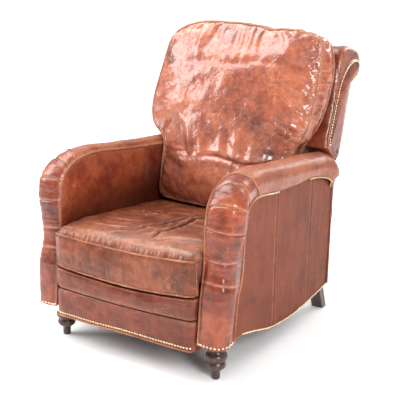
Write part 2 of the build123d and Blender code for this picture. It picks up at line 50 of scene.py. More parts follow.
# ------------------------------------------------------------------ noise
def lattice(i, j, k, seed):
    """Repeatable value from -1 to 1 at each lattice point."""
    h = (i * 73856093) ^ (j * 19349663) ^ (k * 83492791) ^ (seed * 40503 + 977)
    h = h & 0xFFFFFFFF
    h = ((h ^ (h >> 15)) * 2246822519) & 0xFFFFFFFF
    h = ((h ^ (h >> 13)) * 3266489917) & 0xFFFFFFFF
    h = h ^ (h >> 16)
    return h / 2147483647.5 - 1.0


def noise(p, size, seed=0):
    """Smooth value noise in 3-D. size is one feature size or one for each axis."""
    q = np.asarray(p, float) / np.asarray(size, float)
    base = np.floor(q)
    t = q - base
    t = t * t * (3 - 2 * t)
    i, j, k = (base[..., a].astype(np.int64) for a in range(3))
    total = 0.0
    for a in (0, 1):
        wa = t[..., 0] if a else 1 - t[..., 0]
        for b in (0, 1):
            wb = t[..., 1] if b else 1 - t[..., 1]
            for c in (0, 1):
                wc = t[..., 2] if c else 1 - t[..., 2]
                total = total + wa * wb * wc * lattice(i + a, j + b, k + c, seed)
    return total


def fbm(p, size, seed=0, octaves=3):
    """Noise with finer noise on top of it."""
    total = 0.0
    for n in range(octaves):
        total = total + noise(p, np.asarray(size, float) / 2 ** n, seed + 17 * n) / 2 ** n
    return total


def ridge(p, size, seed=0, sharp=2.0):
    """0 to 1, high along winding lines: the crests of folds."""
    return (1 - np.abs(fbm(p, size, seed, 2)).clip(0, 1)) ** sharp


# ------------------------------------------------------------------ curves
def smooth_curve(points, count, closed=False):
    """Catmull-Rom curve through points, resampled to count points an even distance apart."""
    p = np.asarray(points, float)
    n = len(p)
    if closed:
        ext = np.vstack([p[-1], p, p[0], p[1]])
        spans = n
    else:
        ext = np.vstack([2 * p[0] - p[1], p, 2 * p[-1] - p[-2]])
        spans = n - 1
    fine = []
    t = np.linspace(0, 1, 24, endpoint=False)[:, None]
    for a in range(spans):
        p0, p1, p2, p3 = ext[a : a + 4]
        fine.append(0.5 * (2 * p1 + (p2 - p0) * t + (2 * p0 - 5 * p1 + 4 * p2 - p3) * t ** 2
                           + (3 * p1 - p0 - 3 * p2 + p3) * t ** 3))
    fine = np.vstack(fine + [p[:1] if closed else p[-1:]])
    run = np.r_[0, np.cumsum(np.linalg.norm(np.diff(fine, axis=0), axis=1))]
    want = np.linspace(0, run[-1], count, endpoint=not closed)
    return np.stack([np.interp(want, run, fine[:, a]) for a in range(p.shape[1])], 1)


def length_of(points):
    """Length of a polyline."""
    return float(np.linalg.norm(np.diff(points, axis=0), axis=1).sum())


def table(rows, key, col=1):
    """Linear interpolation in rows sorted by their first column."""
    rows = np.asarray(rows, float)
    return np.interp(key, rows[:, 0], rows[:, col])


# ------------------------------------------------------------------ meshes
def make(name, verts, faces, material, body, smooth=True):
    """A mesh piece in the row frame that rides on one CAD body."""
    mesh = bpy.data.meshes.new(name)
    mesh.from_pydata([tuple(v) for v in verts], [], faces)
    mesh.validate()
    mesh.update()
    mesh.polygons.foreach_set("use_smooth", [smooth] * len(mesh.polygons))
    ob = bpy.data.objects.new(name, mesh)
    bpy.context.scene.collection.objects.link(ob)
    mesh.materials.append(material)
    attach(ob, body)
    return ob


def grid_faces(n, m, closed_m, start=0):
    """Quads of an n by m grid of vertices."""
    faces = []
    last = m if closed_m else m - 1
    for i in range(n - 1):
        for j in range(last):
            k = (j + 1) % m
            faces.append((start + i * m + j, start + i * m + k, start + (i + 1) * m + k, start + (i + 1) * m + j))
    return faces


def loft(name, rings, material, body, flip=False):
    """Closed skin over rings (n, m, 3), each ring closed, with a fan at each end."""
    n, m, _ = rings.shape
    verts = np.vstack([rings.reshape(-1, 3), rings[0].mean(0), rings[-1].mean(0)])
    faces = grid_faces(n, m, True)
    for j in range(m):
        k = (j + 1) % m
        faces.append((k, j, n * m))
        faces.append(((n - 1) * m + j, (n - 1) * m + k, n * m + 1))
    if flip:
        faces = [tuple(reversed(f)) for f in faces]
    return make(name, verts, faces, material, body)


def slab(name, front, back, material, body, flip=False):
    """Closed slab between two matching grids of points, front and back."""
    n, m, _ = front.shape
    verts = np.vstack([front.reshape(-1, 3), back.reshape(-1, 3)])
    off = n * m
    faces = grid_faces(n, m, False)
    faces += [tuple(off + v for v in reversed(f)) for f in faces]
    edge = [i * m for i in range(n)]
    edge += [(n - 1) * m + j for j in range(1, m)]
    edge += [i * m + m - 1 for i in range(n - 2, -1, -1)]
    edge += [j for j in range(m - 2, 0, -1)]
    for a, b in zip(edge, edge[1:] + edge[:1]):
        faces.append((a, a + off, b + off, b))
    if flip:
        faces = [tuple(reversed(f)) for f in faces]
    return make(name, verts, faces, material, body)


def co_no(ob):
    """Vertex places and normals of a mesh as arrays."""
    mesh = ob.data
    co = np.zeros(len(mesh.vertices) * 3)
    no = np.zeros(len(mesh.vertices) * 3)
    mesh.vertices.foreach_get("co", co)
    mesh.vertices.foreach_get("normal", no)
    return co.reshape(-1, 3), no.reshape(-1, 3)


def push(ob, amount):
    """Moves each vertex along its normal."""
    co, no = co_no(ob)
    ob.data.vertices.foreach_set("co", (co + no * np.asarray(amount)[:, None]).ravel())
    ob.data.update()
    return ob


def paint(ob, values, name="wear"):
    """Stores a value per vertex, for the material."""
    att = ob.data.attributes.get(name) or ob.data.attributes.new(name, "FLOAT", "POINT")
    att.data.foreach_set("value", np.clip(np.asarray(values, float), 0, 1).astype(np.float32))


def tube(points, radius, sides=10, closed=False, seed=0):
    """Vertices and faces of a slightly uneven round cord along points."""
    p = np.asarray(points, float)
    n = len(p)
    if closed:
        tangent = np.roll(p, -1, 0) - np.roll(p, 1, 0)
    else:
        tangent = np.gradient(p, axis=0)
    tangent /= np.linalg.norm(tangent, axis=1)[:, None] + 1e-12
    ref = np.array([0.31, 0.47, 0.83])
    a = np.cross(tangent, ref)
    a /= np.linalg.norm(a, axis=1)[:, None] + 1e-12
    b = np.cross(tangent, a)
    ang = np.linspace(0, 2 * math.pi, sides, endpoint=False)
    r = radius * (1 + 0.10 * noise(p, 0.012, seed))[:, None, None]
    ring = p[:, None] + r * (a[:, None] * np.cos(ang)[None, :, None] + b[:, None] * np.sin(ang)[None, :, None])
    verts = ring.reshape(-1, 3)
    faces = grid_faces(n, sides, True)
    if closed:
        for j in range(sides):
            k = (j + 1) % sides
            faces.append(((n - 1) * sides + j, (n - 1) * sides + k, k, j))
    else:
        faces.append(tuple(range(sides)))
        faces.append(tuple((n - 1) * sides + j for j in reversed(range(sides))))
    return verts, faces


def merge(parts):
    """Joins (verts, faces) pairs into one."""
    verts, faces, off = [], [], 0
    for v, f in parts:
        verts.append(np.asarray(v))
        faces += [tuple(off + k for k in face) for face in f]
        off += len(v)
    return np.vstack(verts), faces


def piping(name, curves, radius, body, closed=False, step=0.004):
    """One piece of leather-covered welt cord along each of several curves."""
    parts = []
    for n, c in enumerate(curves):
        c = np.asarray(c, float)
        count = max(8, int(length_of(c) / step))
        parts.append(tube(smooth_curve(c, count, closed), radius, 10, closed, n))
    v, f = merge(parts)
    ob = make(name, v, f, MATS["piping"], body)
    return ob


def nail_heads(name, places, normals, body, node=None, radius=0.0037, height=0.0032):
    """A row of domed nail heads, one small closed dome at each place."""
    rng = random.Random(len(places))
    parts = []
    for p, nrm in zip(places, normals):
        nrm = Vector(nrm).normalized()
        q = nrm.to_track_quat("Z", "Y").to_matrix()
        jit = Vector((rng.uniform(-1, 1), rng.uniform(-1, 1), 0)) * 0.0004
        verts = []
        for lat, rr in ((0, 1.0), (0.30, 0.97), (0.62, 0.80), (0.87, 0.48)):
            for s in range(10):
                ang = 2 * math.pi * s / 10
                verts.append(Vector((radius * rr * math.cos(ang), radius * rr * math.sin(ang), height * lat)))
        verts.append(Vector((0, 0, height)))
        verts = [Vector(p) + q @ (v + jit) for v in verts]
        faces = grid_faces(4, 10, True)
        faces += [(30 + s, 30 + (s + 1) % 10, 40) for s in range(10)]
        faces.append(tuple(reversed(range(10))))
        parts.append((np.array(verts), faces))
    v, f = merge(parts)
    ob = make(name, v, f, MATS["brass"], body)
    if node:
        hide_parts(node)
    return ob


def mirrored(points, s):
    """Points of the left side, or their mirror image for the right."""
    out = np.array(points, float)
    out[..., 0] *= s
    return out


# ------------------------------------------------------------------ materials
class Tree:
    """Short calls for building a node tree."""

    def __init__(self, name):
        self.mat = bpy.data.materials.new(name)
        self.mat.use_nodes = True
        self.nodes = self.mat.node_tree.nodes
        self.links = self.mat.node_tree.links
        self.bsdf = self.nodes["Principled BSDF"]
        self.coord = self.nodes.new("ShaderNodeTexCoord").outputs["Object"]

    def put(self, socket, value):
        if isinstance(value, bpy.types.NodeSocket):
            self.links.new(value, socket)
        else:
            socket.default_value = value

    def noise(self, scale, detail=4.0, rough=0.55, distortion=0.0, vector=None):
        n = self.nodes.new("ShaderNodeTexNoise")
        self.put(n.inputs["Vector"], vector or self.coord)
        n.inputs["Scale"].default_value = scale
        n.inputs["Detail"].default_value = detail
        n.inputs["Roughness"].default_value = rough
        n.inputs["Distortion"].default_value = distortion
        return n.outputs["Fac"]

    def shift(self, amount, scale=(1, 1, 1)):
        n = self.nodes.new("ShaderNodeMapping")
        self.links.new(self.coord, n.inputs["Vector"])
        n.inputs["Location"].default_value = amount
        n.inputs["Scale"].default_value = scale
        return n.outputs["Vector"]

    def cells(self, scale, feature="DISTANCE_TO_EDGE", vector=None, randomness=1.0):
        n = self.nodes.new("ShaderNodeTexVoronoi")
        n.feature = feature
        self.put(n.inputs["Vector"], vector or self.coord)
        n.inputs["Scale"].default_value = scale
        n.inputs["Randomness"].default_value = randomness
        return n.outputs["Distance"]

    def bent(self, amount, scale):
        """The coordinate, wandered by noise."""
        n = self.nodes.new("ShaderNodeTexNoise")
        self.links.new(self.coord, n.inputs["Vector"])
        n.inputs["Scale"].default_value = scale
        m = self.nodes.new("ShaderNodeVectorMath")
        m.operation = "MULTIPLY_ADD"
        self.links.new(n.outputs["Color"], m.inputs[0])
        m.inputs[1].default_value = (amount,) * 3
        self.links.new(self.coord, m.inputs[2])
        return m.outputs["Vector"]

    def ramp(self, fac, stops):
        n = self.nodes.new("ShaderNodeValToRGB")
        self.put(n.inputs["Fac"], fac)
        e = n.color_ramp.elements
        while len(e) < len(stops):
            e.new(0.5)
        for el, (pos, col) in zip(e, stops):
            el.position = pos
            el.color = tuple(col) + (1,) if len(col) == 3 else col
        return n.outputs["Color"]

    def span(self, value, lo, hi, to_lo=0.0, to_hi=1.0):
        n = self.nodes.new("ShaderNodeMapRange")
        self.put(n.inputs["Value"], value)
        n.inputs["From Min"].default_value = lo
        n.inputs["From Max"].default_value = hi
        n.inputs["To Min"].default_value = to_lo
        n.inputs["To Max"].default_value = to_hi
        return n.outputs["Result"]

    def math(self, op, a, b=0.0):
        n = self.nodes.new("ShaderNodeMath")
        n.operation = op
        self.put(n.inputs[0], a)
        self.put(n.inputs[1], b)
        return n.outputs[0]

    def mix(self, fac, a, b, blend="MIX"):
        n = self.nodes.new("ShaderNodeMix")
        n.data_type = "RGBA"
        n.blend_type = blend
        self.put(n.inputs["Factor"], fac)
        self.put(n.inputs[6], a if not isinstance(a, tuple) else a + (1,))
        self.put(n.inputs[7], b if not isinstance(b, tuple) else b + (1,))
        return n.outputs[2]

    def bump(self, height, distance, strength=1.0, before=None):
        n = self.nodes.new("ShaderNodeBump")
        self.put(n.inputs["Height"], height)
        n.inputs["Distance"].default_value = distance
        n.inputs["Strength"].default_value = strength
        if before is not None:
            self.links.new(before, n.inputs["Normal"])
        return n.outputs["Normal"]

    def attribute(self, name):
        n = self.nodes.new("ShaderNodeAttribute")
        n.attribute_name = name
        return n.outputs["Fac"]

    def set(self, **sockets):
        for key, value in sockets.items():
            self.put(self.bsdf.inputs[key.replace("_", " ")], value)
        return self.mat


def leather(name, dark, mid, rust, pale, offset=0.0, rough=(0.26, 0.46), coat=0.35, grain=1.0, crackle=0.55,
            shine=0.28):
    """Aged pull-up leather: mottled colour, pale creases, worn seams, fine grain."""
    t = Tree(name)
    place = t.shift((offset, offset * 1.7, offset * 0.6))
    broad = t.noise(5.5, 3.0, 0.55, 0.6, place)
    patch = t.noise(19.0, 5.0, 0.62, 0.4, place)
    fine = t.noise(95.0, 4.0, 0.6, 0.0, place)
    tone = t.math("ADD", t.math("MULTIPLY", broad, 0.5), t.math("MULTIPLY", patch, 0.5))
    base = t.ramp(tone, [(0.34, dark), (0.47, mid), (0.60, rust), (0.74, mid)])
    speck = t.span(fine, 0.35, 0.70, 0.0, 0.30)
    base = t.mix(speck, base, tuple(c * 0.55 for c in mid))
    contour = t.math("ABSOLUTE", t.math("SUBTRACT", t.noise(7.0, 1.0, 0.4, 0.0, place), 0.5))
    hair = t.span(contour, 0.0, 0.0022, 1.0, 0.0)
    wander2 = t.bent(0.03, 21.0)
    lines2 = t.cells(29.0, vector=wander2)
    hair2 = t.span(lines2, 0.0, 0.020, 1.0, 0.0)
    where = t.span(t.noise(11.0, 3.0, 0.6, 0.3, place), 0.50, 0.60)
    where2 = t.span(t.noise(13.0, 3.0, 0.6, 0.3, place), 0.50, 0.66)
    marks = t.math("ADD", t.math("MULTIPLY", hair, where), t.math("MULTIPLY", hair2, where2))
    marks = t.math("MULTIPLY", marks, crackle)
    base = t.mix(t.math("MINIMUM", marks, 0.75), base, pale)
    wear = t.attribute("wear")
    ragged = t.math("MULTIPLY", wear, t.span(t.noise(60.0, 5.0, 0.7), 0.30, 0.62))
    base = t.mix(t.math("MINIMUM", ragged, 0.85), base, pale)
    # Painted shade: this attribute darkens the colour towards a near-black brown in crease valleys, seam grooves and
    # low on the inside arms, and along the facings' nail rows
    darkening_and_painted_shade = t.attribute("darkening_and_painted_shade")
    base = t.mix(t.math("MULTIPLY", darkening_and_painted_shade, 0.85), base, tuple(c * 0.16 for c in mid))
    roughness = t.span(t.math("ADD", patch, t.math("MULTIPLY", fine, 0.5)), 0.45, 1.0, rough[0], rough[1])
    pores = t.cells(430.0, "F1")
    soft = t.noise(42.0, 4.0, 0.6, 0.2)
    normal = t.bump(pores, 0.00035 * grain, 0.5)
    normal = t.bump(soft, 0.0022 * grain, 0.7, normal)
    normal = t.bump(t.math("MULTIPLY", marks, -1.0), 0.0012, 0.6, normal)
    glaze = t.bump(t.noise(24.0, 3.0, 0.55, 0.5), 0.0045 * grain, 0.8)
    glaze = t.bump(soft, 0.0018 * grain, 0.7, glaze)
    return t.set(Base_Color=base, Roughness=roughness, Normal=normal, Coat_Weight=coat, Coat_Roughness=0.12,
                 Coat_Normal=glaze,
                 Specular_IOR_Level=shine, Specular_Tint=(1.0, 0.80, 0.70, 1.0))


def wood(name, dark, light, rough=0.35, stretch=(14, 14, 2.2), coat=0.2):
    """Stained wood with grain along one axis."""
    t = Tree(name)
    v = t.shift((0.2, 0.1, 0.0), stretch)
    grain = t.noise(7.0, 6.0, 0.65, 1.2, v)
    fine = t.noise(38.0, 3.0, 0.6, 0.0, v)
    mix = t.math("ADD", t.math("MULTIPLY", grain, 0.75), t.math("MULTIPLY", fine, 0.25))
    base = t.ramp(mix, [(0.36, dark), (0.62, light)])
    normal = t.bump(mix, 0.0006, 0.5)
    return t.set(Base_Color=base, Roughness=t.span(fine, 0.3, 0.7, rough - 0.07, rough + 0.12), Normal=normal,
                 Coat_Weight=coat, Coat_Roughness=0.25)


def metal(name, color, rough, metallic=1.0, worn=(0.5, 0.5, 0.5), amount=0.2):
    """Metal or blacked metal with rubbed patches."""
    t = Tree(name)
    patch = t.noise(55.0, 5.0, 0.65, 0.3)
    base = t.mix(t.span(patch, 0.55, 0.72, 0.0, amount), tuple(color), tuple(worn))
    normal = t.bump(t.noise(240.0, 3.0), 0.0002, 0.5)
    return t.set(Base_Color=base, Roughness=t.span(patch, 0.3, 0.7, rough - 0.08, rough + 0.12), Normal=normal,
                 Metallic=metallic)


def cloth(name, color):
    """Plain woven deck cloth."""
    t = Tree(name)
    a = t.noise(900.0, 2.0, 0.5, 0.0, t.shift((0, 0, 0), (1, 0.12, 1)))
    b = t.noise(900.0, 2.0, 0.5, 0.0, t.shift((0, 0, 0), (0.12, 1, 1)))
    weave = t.math("ADD", a, b)
    base = t.ramp(weave, [(0.35, tuple(c * 0.6 for c in color)), (0.65, color)])
    return t.set(Base_Color=base, Roughness=0.9, Normal=t.bump(weave, 0.0004, 0.6))


DARK = (0.055, 0.009, 0.006)
MID = (0.180, 0.030, 0.013)
RUST = (0.330, 0.072, 0.027)
PALE = (0.62, 0.32, 0.20)
MATS = {
    "leather": leather("leather_body", DARK, MID, RUST, PALE, 0.0, (0.28, 0.44), 0.55, 1.0, 0.40),
    "leather_arm": leather("leather_arm", (0.110, 0.028, 0.016), (0.245, 0.066, 0.034), (0.34, 0.108, 0.058), PALE,
                           2.3, (0.32, 0.50), 0.25, 1.0, 0.40, 0.22),
    "leather_panel": leather("leather_panel", (0.092, 0.019, 0.009), (0.158, 0.036, 0.017), (0.200, 0.050, 0.024), PALE,
                             4.1, (0.42, 0.58), 0.0, 0.8, 0.20, 0.18),
    "leather_back": leather("leather_pillow", (0.085, 0.012, 0.006), (0.24, 0.043, 0.018), (0.42, 0.104, 0.040),
                            (0.74, 0.46, 0.34), 1.3, (0.30, 0.46), 1.0, 1.3, 0.50, 0.30),
    "leather_seat": leather("leather_seat", (0.056, 0.013, 0.007), (0.158, 0.038, 0.017), (0.28, 0.078, 0.034),
                            (0.58, 0.34, 0.22), 3.1, (0.30, 0.50), 0.30, 1.2, 0.50, 0.24),
    "leather_foot": leather("leather_footrest", (0.050, 0.010, 0.006), (0.132, 0.026, 0.013), (0.22, 0.050, 0.025),
                            PALE, 5.3, (0.30, 0.46), 0.35, 1.0, 0.25, 0.24),
    "leather_dark": leather("leather_dark", (0.026, 0.007, 0.004), (0.056, 0.012, 0.008), (0.095, 0.022, 0.013), PALE,
                            6.1, (0.30, 0.46), 0.20),
    "piping": leather("leather_piping", (0.15, 0.046, 0.024), (0.28, 0.095, 0.048), (0.40, 0.170, 0.090),
                      (0.70, 0.46, 0.30), 7.7, (0.34, 0.52), 0.15, 0.8, 0.9),
    "gimp": leather("gold_gimp", (0.34, 0.22, 0.10), (0.50, 0.36, 0.18), (0.62, 0.48, 0.27), (0.74, 0.62, 0.40), 9.1,
                    (0.40, 0.55), 0.10, 0.6, 0.3),
    "brass": metal("antique_brass", (0.86, 0.68, 0.42), 0.24, 1.0, (0.40, 0.26, 0.12), 0.4),
    "foot_wood": wood("dark_walnut", (0.020, 0.009, 0.006), (0.075, 0.034, 0.022), 0.28),
    # Frame wood: a hardwood tone darkened as painted shade, so that it reads dark in the gaps
    "frame_wood": wood("frame_wood_darkened_as_shade", (0.075, 0.042, 0.026), (0.150, 0.092, 0.056), 0.6, (9, 9, 9), 0.0),
    "steel": metal("black_oxide", (0.035, 0.035, 0.038), 0.42, 0.85, (0.22, 0.22, 0.22), 0.35),
    "spring": metal("spring_wire", (0.42, 0.42, 0.44), 0.35, 1.0, (0.20, 0.17, 0.14), 0.5),
    "deck": cloth("deck_cloth", (0.030, 0.027, 0.025)),
}
CAD_LOOK = {"dark_wood": "foot_wood", "frame_wood": "frame_wood", "steel": "steel", "spring_steel": "spring",
            "deck_cloth": "deck", "nail_brass": "brass", "leather": "leather_dark", "leather_seat": "leather_seat"}
for row in frame["record"]["subparts"]:
    node = NODES[row["node"]]
    node.data.materials.clear()
    node.data.materials.append(MATS[CAD_LOOK[row["material_slot"]]])


# ------------------------------------------------------------------ arms
# Inner welt of the arm in side view, with the crown, the widest x, the x of the outer welt and the depth of
# the wrap at each place: y, z, crown, widest x, welt x, depth
ARM_PATH = np.array([
    (-0.521, 0.1375, 0.010, 0.388, 0.379, 0.088),
    (-0.514, 0.215, 0.012, 0.396, 0.379, 0.092),
    (-0.507, 0.290, 0.013, 0.400, 0.379, 0.095),
    (-0.496, 0.350, 0.011, 0.391, 0.379, 0.104),
    (-0.489, 0.400, 0.011, 0.392, 0.379, 0.106),
    (-0.487, 0.455, 0.012, 0.402, 0.379, 0.106),
    (-0.485, 0.520, 0.014, 0.415, 0.382, 0.109),
    (-0.475, 0.580, 0.016, 0.416, 0.386, 0.110),
    (-0.446, 0.622, 0.018, 0.409, 0.388, 0.104),
    (-0.398, 0.648, 0.021, 0.397, 0.388, 0.082),
    (-0.340, 0.659, 0.023, 0.393, 0.387, 0.066),
    (-0.280, 0.662, 0.023, 0.391, 0.386, 0.066),
    (-0.157, 0.653, 0.023, 0.389, 0.384, 0.068),
    (-0.020, 0.643, 0.025, 0.390, 0.384, 0.062),
    (0.098, 0.638, 0.027, 0.394, 0.387, 0.052),
    (0.180, 0.634, 0.027, 0.402, 0.394, 0.056),
    (0.240, 0.628, 0.027, 0.409, 0.401, 0.066),
    (0.288, 0.612, 0.026, 0.413, 0.403, 0.074),
    (0.318, 0.580, 0.020, 0.411, 0.400, 0.066),
    (0.329, 0.545, 0.013, 0.392, 0.386, 0.050),
    (0.330, 0.512, 0.009, 0.382, 0.379, 0.040),
])
PATH = smooth_curve(ARM_PATH, 900)
PATH_S = np.r_[0, np.cumsum(np.linalg.norm(np.diff(PATH[:, :2], axis=0), axis=1))]
PATH_LEN = float(PATH_S[-1])
ARM_IN = 0.2995


def path_s(y=None, z=None):
    """Arc length of the arm path where its front part reaches z, or its top reaches y."""
    if z is not None:
        front = PATH[:420]
        return float(np.interp(z, front[:, 1], PATH_S[:420]))
    top = PATH[330:820]
    return float(np.interp(y, top[:, 0], PATH_S[330:820]))


def arm_at(s, v):
    """Points of the arm's wrapped band. s runs along the inner welt, v from it (0) to the outer welt (1)."""
    s = np.clip(s, 0, PATH_LEN)
    col = [np.interp(s, PATH_S, PATH[:, c]) for c in range(6)]
    step = 0.006
    ya, za = (np.interp(np.clip(s - step, 0, PATH_LEN), PATH_S, PATH[:, c]) for c in (0, 1))
    yb, zb = (np.interp(np.clip(s + step, 0, PATH_LEN), PATH_S, PATH[:, c]) for c in (0, 1))
    ty, tz = yb - ya, zb - za
    norm = np.sqrt(ty ** 2 + tz ** 2) + 1e-12
    ny, nz = -tz / norm, ty / norm
    y, z, crown, x_out, x_welt, depth = col
    w = x_out - ARM_IN
    knots_x = [ARM_IN + 0 * w, ARM_IN + 0.16 * w, ARM_IN + 0.50 * w, x_out - 0.15 * w, x_out,
               0.62 * x_out + 0.38 * x_welt, x_welt]
    knots_n = [0 * w, 0.74 * crown, crown, 0.30 * crown, -0.36 * depth, -0.70 * depth, -depth]
    u = np.clip(v, 0, 1) * 6
    k = np.minimum(np.floor(u).astype(int), 5)
    f = u - k
    kx = np.stack([2 * knots_x[0] - knots_x[1]] + knots_x + [2 * knots_x[6] - knots_x[5]], -1)
    kn = np.stack([2 * knots_n[0] - knots_n[1]] + knots_n + [2 * knots_n[6] - knots_n[5]], -1)

    def pick(arr, d):
        return np.take_along_axis(arr, (k + d)[..., None], -1)[..., 0]

    def cubic(arr):
        p0, p1, p2, p3 = (pick(arr, d) for d in range(4))
        return 0.5 * (2 * p1 + (p2 - p0) * f + (2 * p0 - 5 * p1 + 4 * p2 - p3) * f ** 2
                      + (3 * p1 - p0 - 3 * p2 + p3) * f ** 3)

    x = cubic(kx)
    n = cubic(kn)
    return np.stack([x, y + ny * n, z + nz * n], -1)


SEAM_S = path_s(y=-0.405)
SEAM_SLANT = 0.105
SHEAR = [(0.0, 0.0), (path_s(z=0.42), -0.012), (path_s(z=0.52), -0.015), (path_s(z=0.60), 0.02),
         (SEAM_S, SEAM_SLANT), (SEAM_S + 0.20, 0.05), (SEAM_S + 0.45, 0.0), (PATH_LEN, 0.0)]
CROSS_SEAMS = [path_s(z=0.345), path_s(z=0.418), path_s(z=0.516), path_s(z=0.585), path_s(y=-0.452)]


def sheared(s, v):
    """Arc length moved along with v, so that cross seams slant as they wrap outwards."""
    return s + table(SHEAR, s) * v


def arm_rings(s_list, v_count, depth_fn, side):
    """Closed rings of the arm band at each arc length: the shown skin and a plain inner return."""
    v = np.linspace(0, 1, v_count)
    s = np.asarray(s_list)[:, None] + 0 * v[None]
    vv = 0 * s + v[None]
    ss = sheared(s, vv)
    skin = arm_at(ss, vv)
    e = 0.002
    du = arm_at(ss + e, vv) - arm_at(ss - e, vv)
    dv = arm_at(ss, np.clip(vv + 0.01, 0, 1)) - arm_at(ss, np.clip(vv - 0.01, 0, 1))
    nrm = np.cross(dv, du)
    nrm /= np.linalg.norm(nrm, axis=-1)[..., None] + 1e-12
    if np.mean(nrm[:, v_count // 3, 0] * 0 + (nrm * (skin - skin.mean((0, 1)))).sum(-1)[:, v_count // 3]) < 0:
        nrm = -nrm
    skin = skin + nrm * depth_fn(s, ss, vv, side)[..., None]
    core = skin.mean(1, keepdims=True)
    core[..., 0] = 0.335
    inner = []
    for f in (0.92, 0.62, 0.34, 0.10):
        j = int(f * (v_count - 1))
        q = skin[:, j : j + 1]
        inner.append(q + (core - q) * 0.30)
    rings = np.concatenate([skin] + inner, 1)
    return mirrored(rings, side), nrm


def bell(x, width):
    return np.exp(-(x / width) ** 2)


def front_roll_depth(s, ss, v, side):
    """Fine gathers across the ruched front, cross seams, and slight puffs between them."""
    seed = 3 if side > 0 else 11
    across = v * 0.20
    p = np.stack([s, across, 0 * s], -1)
    gather = fbm(p, (0.0080, 0.060, 1.0), seed, 2)
    gather2 = ridge(p, (0.017, 0.110, 1.0), seed + 5, 3.0)
    edge = 0.24 + 0.9 * np.maximum(bell(v, 0.14), 0.22 * bell(v - 0.68, 0.25))
    upper = 0.45 + 0.55 * np.clip((s - path_s(z=0.36)) / 0.08, 0, 1)
    d = 0.0011 * gather * edge * upper + 0.0015 * gather2 * (0.35 + 0.65 * edge) * upper - 0.0006
    d = d + 0.0020 * noise(p, (0.07, 0.07, 1), seed + 2)
    for k, sk in enumerate(CROSS_SEAMS):
        off = s - sk + 0.006 * (v - 0.4) ** 2
        deep = (0.0016, 0.0022, 0.0030, 0.0034, 0.0034)[k]
        fade = 1.0 if k >= 2 else 0.55 + 0.45 * noise(p, (1, 0.05, 1), 40 + k)
        d = d - deep * bell(off, 0.0022) * fade
        d = d + 0.0012 * (bell(off - 0.012, 0.009) + bell(off + 0.012, 0.009))
    return d * np.clip((1 - v) * 9, 0, 1) * np.clip(v * 14, 0.15, 1)


def arm_pad_depth(s, ss, v, side):
    """Soft waves and a few long folds on the arm's top."""
    seed = 23 if side > 0 else 31
    p = np.stack([ss, v * 0.16, 0 * s], -1)
    d = 0.0018 * fbm(p, (0.13, 0.07, 1), seed, 2) + 0.0009 * ridge(p, (0.06, 0.03, 1), seed + 3, 4.0)
    rear = np.clip((ss - path_s(y=0.20)) / 0.10, 0, 1)
    d = d + rear * 0.0014 * fbm(p, (0.05, 0.014, 1), seed + 7, 2)
    start = np.clip((s - SEAM_S) / 0.03, 0, 1)
    return d * (0.35 + 0.65 * start) * np.clip((1 - v) * 8, 0, 1)


V_COUNT = 56
for side_name, side in SIDES:
    s_front = np.linspace(0.0, SEAM_S, 300)
    rings, _ = arm_rings(s_front, V_COUNT, front_roll_depth, side)
    ob = loft("arm_front_roll_" + side_name + "_leather", rings, MATS["leather"], "base", flip=side > 0)
    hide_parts("arm_front_roll_" + side_name)
    vcol = np.r_[np.linspace(0, 1, V_COUNT), [0.5] * 4]
    wear = np.zeros((len(s_front), V_COUNT + 4))
    wear += 0.55 * bell(vcol - 0.02, 0.05)[None]
    for sk in CROSS_SEAMS:
        wear += 0.40 * bell(s_front - sk - 0.004, 0.0040)[:, None]
    # Painted shade in the grooves of the three deepest cross seams
    darkening_and_painted_shade = np.zeros_like(wear)
    for sk in CROSS_SEAMS[2:]:
        darkening_and_painted_shade += 0.45 * bell(s_front - sk, 0.0016)[:, None]
    paint(ob, np.r_[wear.ravel(), 0, 0])
    paint(ob, np.r_[darkening_and_painted_shade.ravel(), 0, 0], "darkening_and_painted_shade")

    s_top = np.linspace(SEAM_S + 0.001, PATH_LEN, 260)
    rings, _ = arm_rings(s_top, V_COUNT, arm_pad_depth, side)
    ob = loft("arm_pad_" + side_name + "_leather", rings, MATS["leather_arm"], "base", flip=side > 0)
    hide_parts("arm_pad_" + side_name)
    wear = np.zeros((len(s_top), V_COUNT + 4)) + 0.5 * bell(vcol - 0.02, 0.05)[None]
    wear += 0.30 * bell(vcol - 0.38, 0.16)[None] * (0.5 + 0.5 * bell(s_top - SEAM_S - 0.25, 0.3))[:, None]
    paint(ob, np.r_[wear.ravel(), 0, 0])

    s_in = np.linspace(0.0, path_s(y=0.27), 200)
    inner_line = mirrored(arm_at(s_in, 0 * s_in) + np.array([-0.0010, 0, 0.0]), side)
    v_ring = np.linspace(0.0, 1.0, 40)
    ring = arm_at(sheared(SEAM_S + 0 * v_ring, v_ring), v_ring)
    out = arm_at(sheared(SEAM_S + 0 * v_ring, v_ring), v_ring)
    centre = ring.mean(0)
    ring = ring + (ring - centre) / np.linalg.norm(ring - centre, axis=1)[:, None] * 0.0012
    s_out = np.linspace(0.0, SEAM_S, 160)
    outer_line = arm_at(sheared(s_out, 1 + 0 * s_out), 1 + 0 * s_out) + np.array([0.0015, 0.0, 0.0])
    piping("arm_piping_" + side_name, [inner_line, mirrored(ring, side), mirrored(outer_line, side)], 0.0036, "base")
    gimp_lines = []
    for s_from, s_to in ((path_s(y=-0.36), path_s(y=-0.15)), (path_s(y=0.09), PATH_LEN - 0.010)):
        s_low = np.linspace(s_from, s_to, 60)
        pad_line = arm_at(s_low, 1 + 0 * s_low) + np.array([0.0010, 0.0, -0.0030])
        gimp_lines.append(mirrored(pad_line, side))
    gimp = piping("arm_pad_gimp_" + side_name, gimp_lines, 0.0030, "base")
    gimp.data.materials[0] = MATS["gimp"]


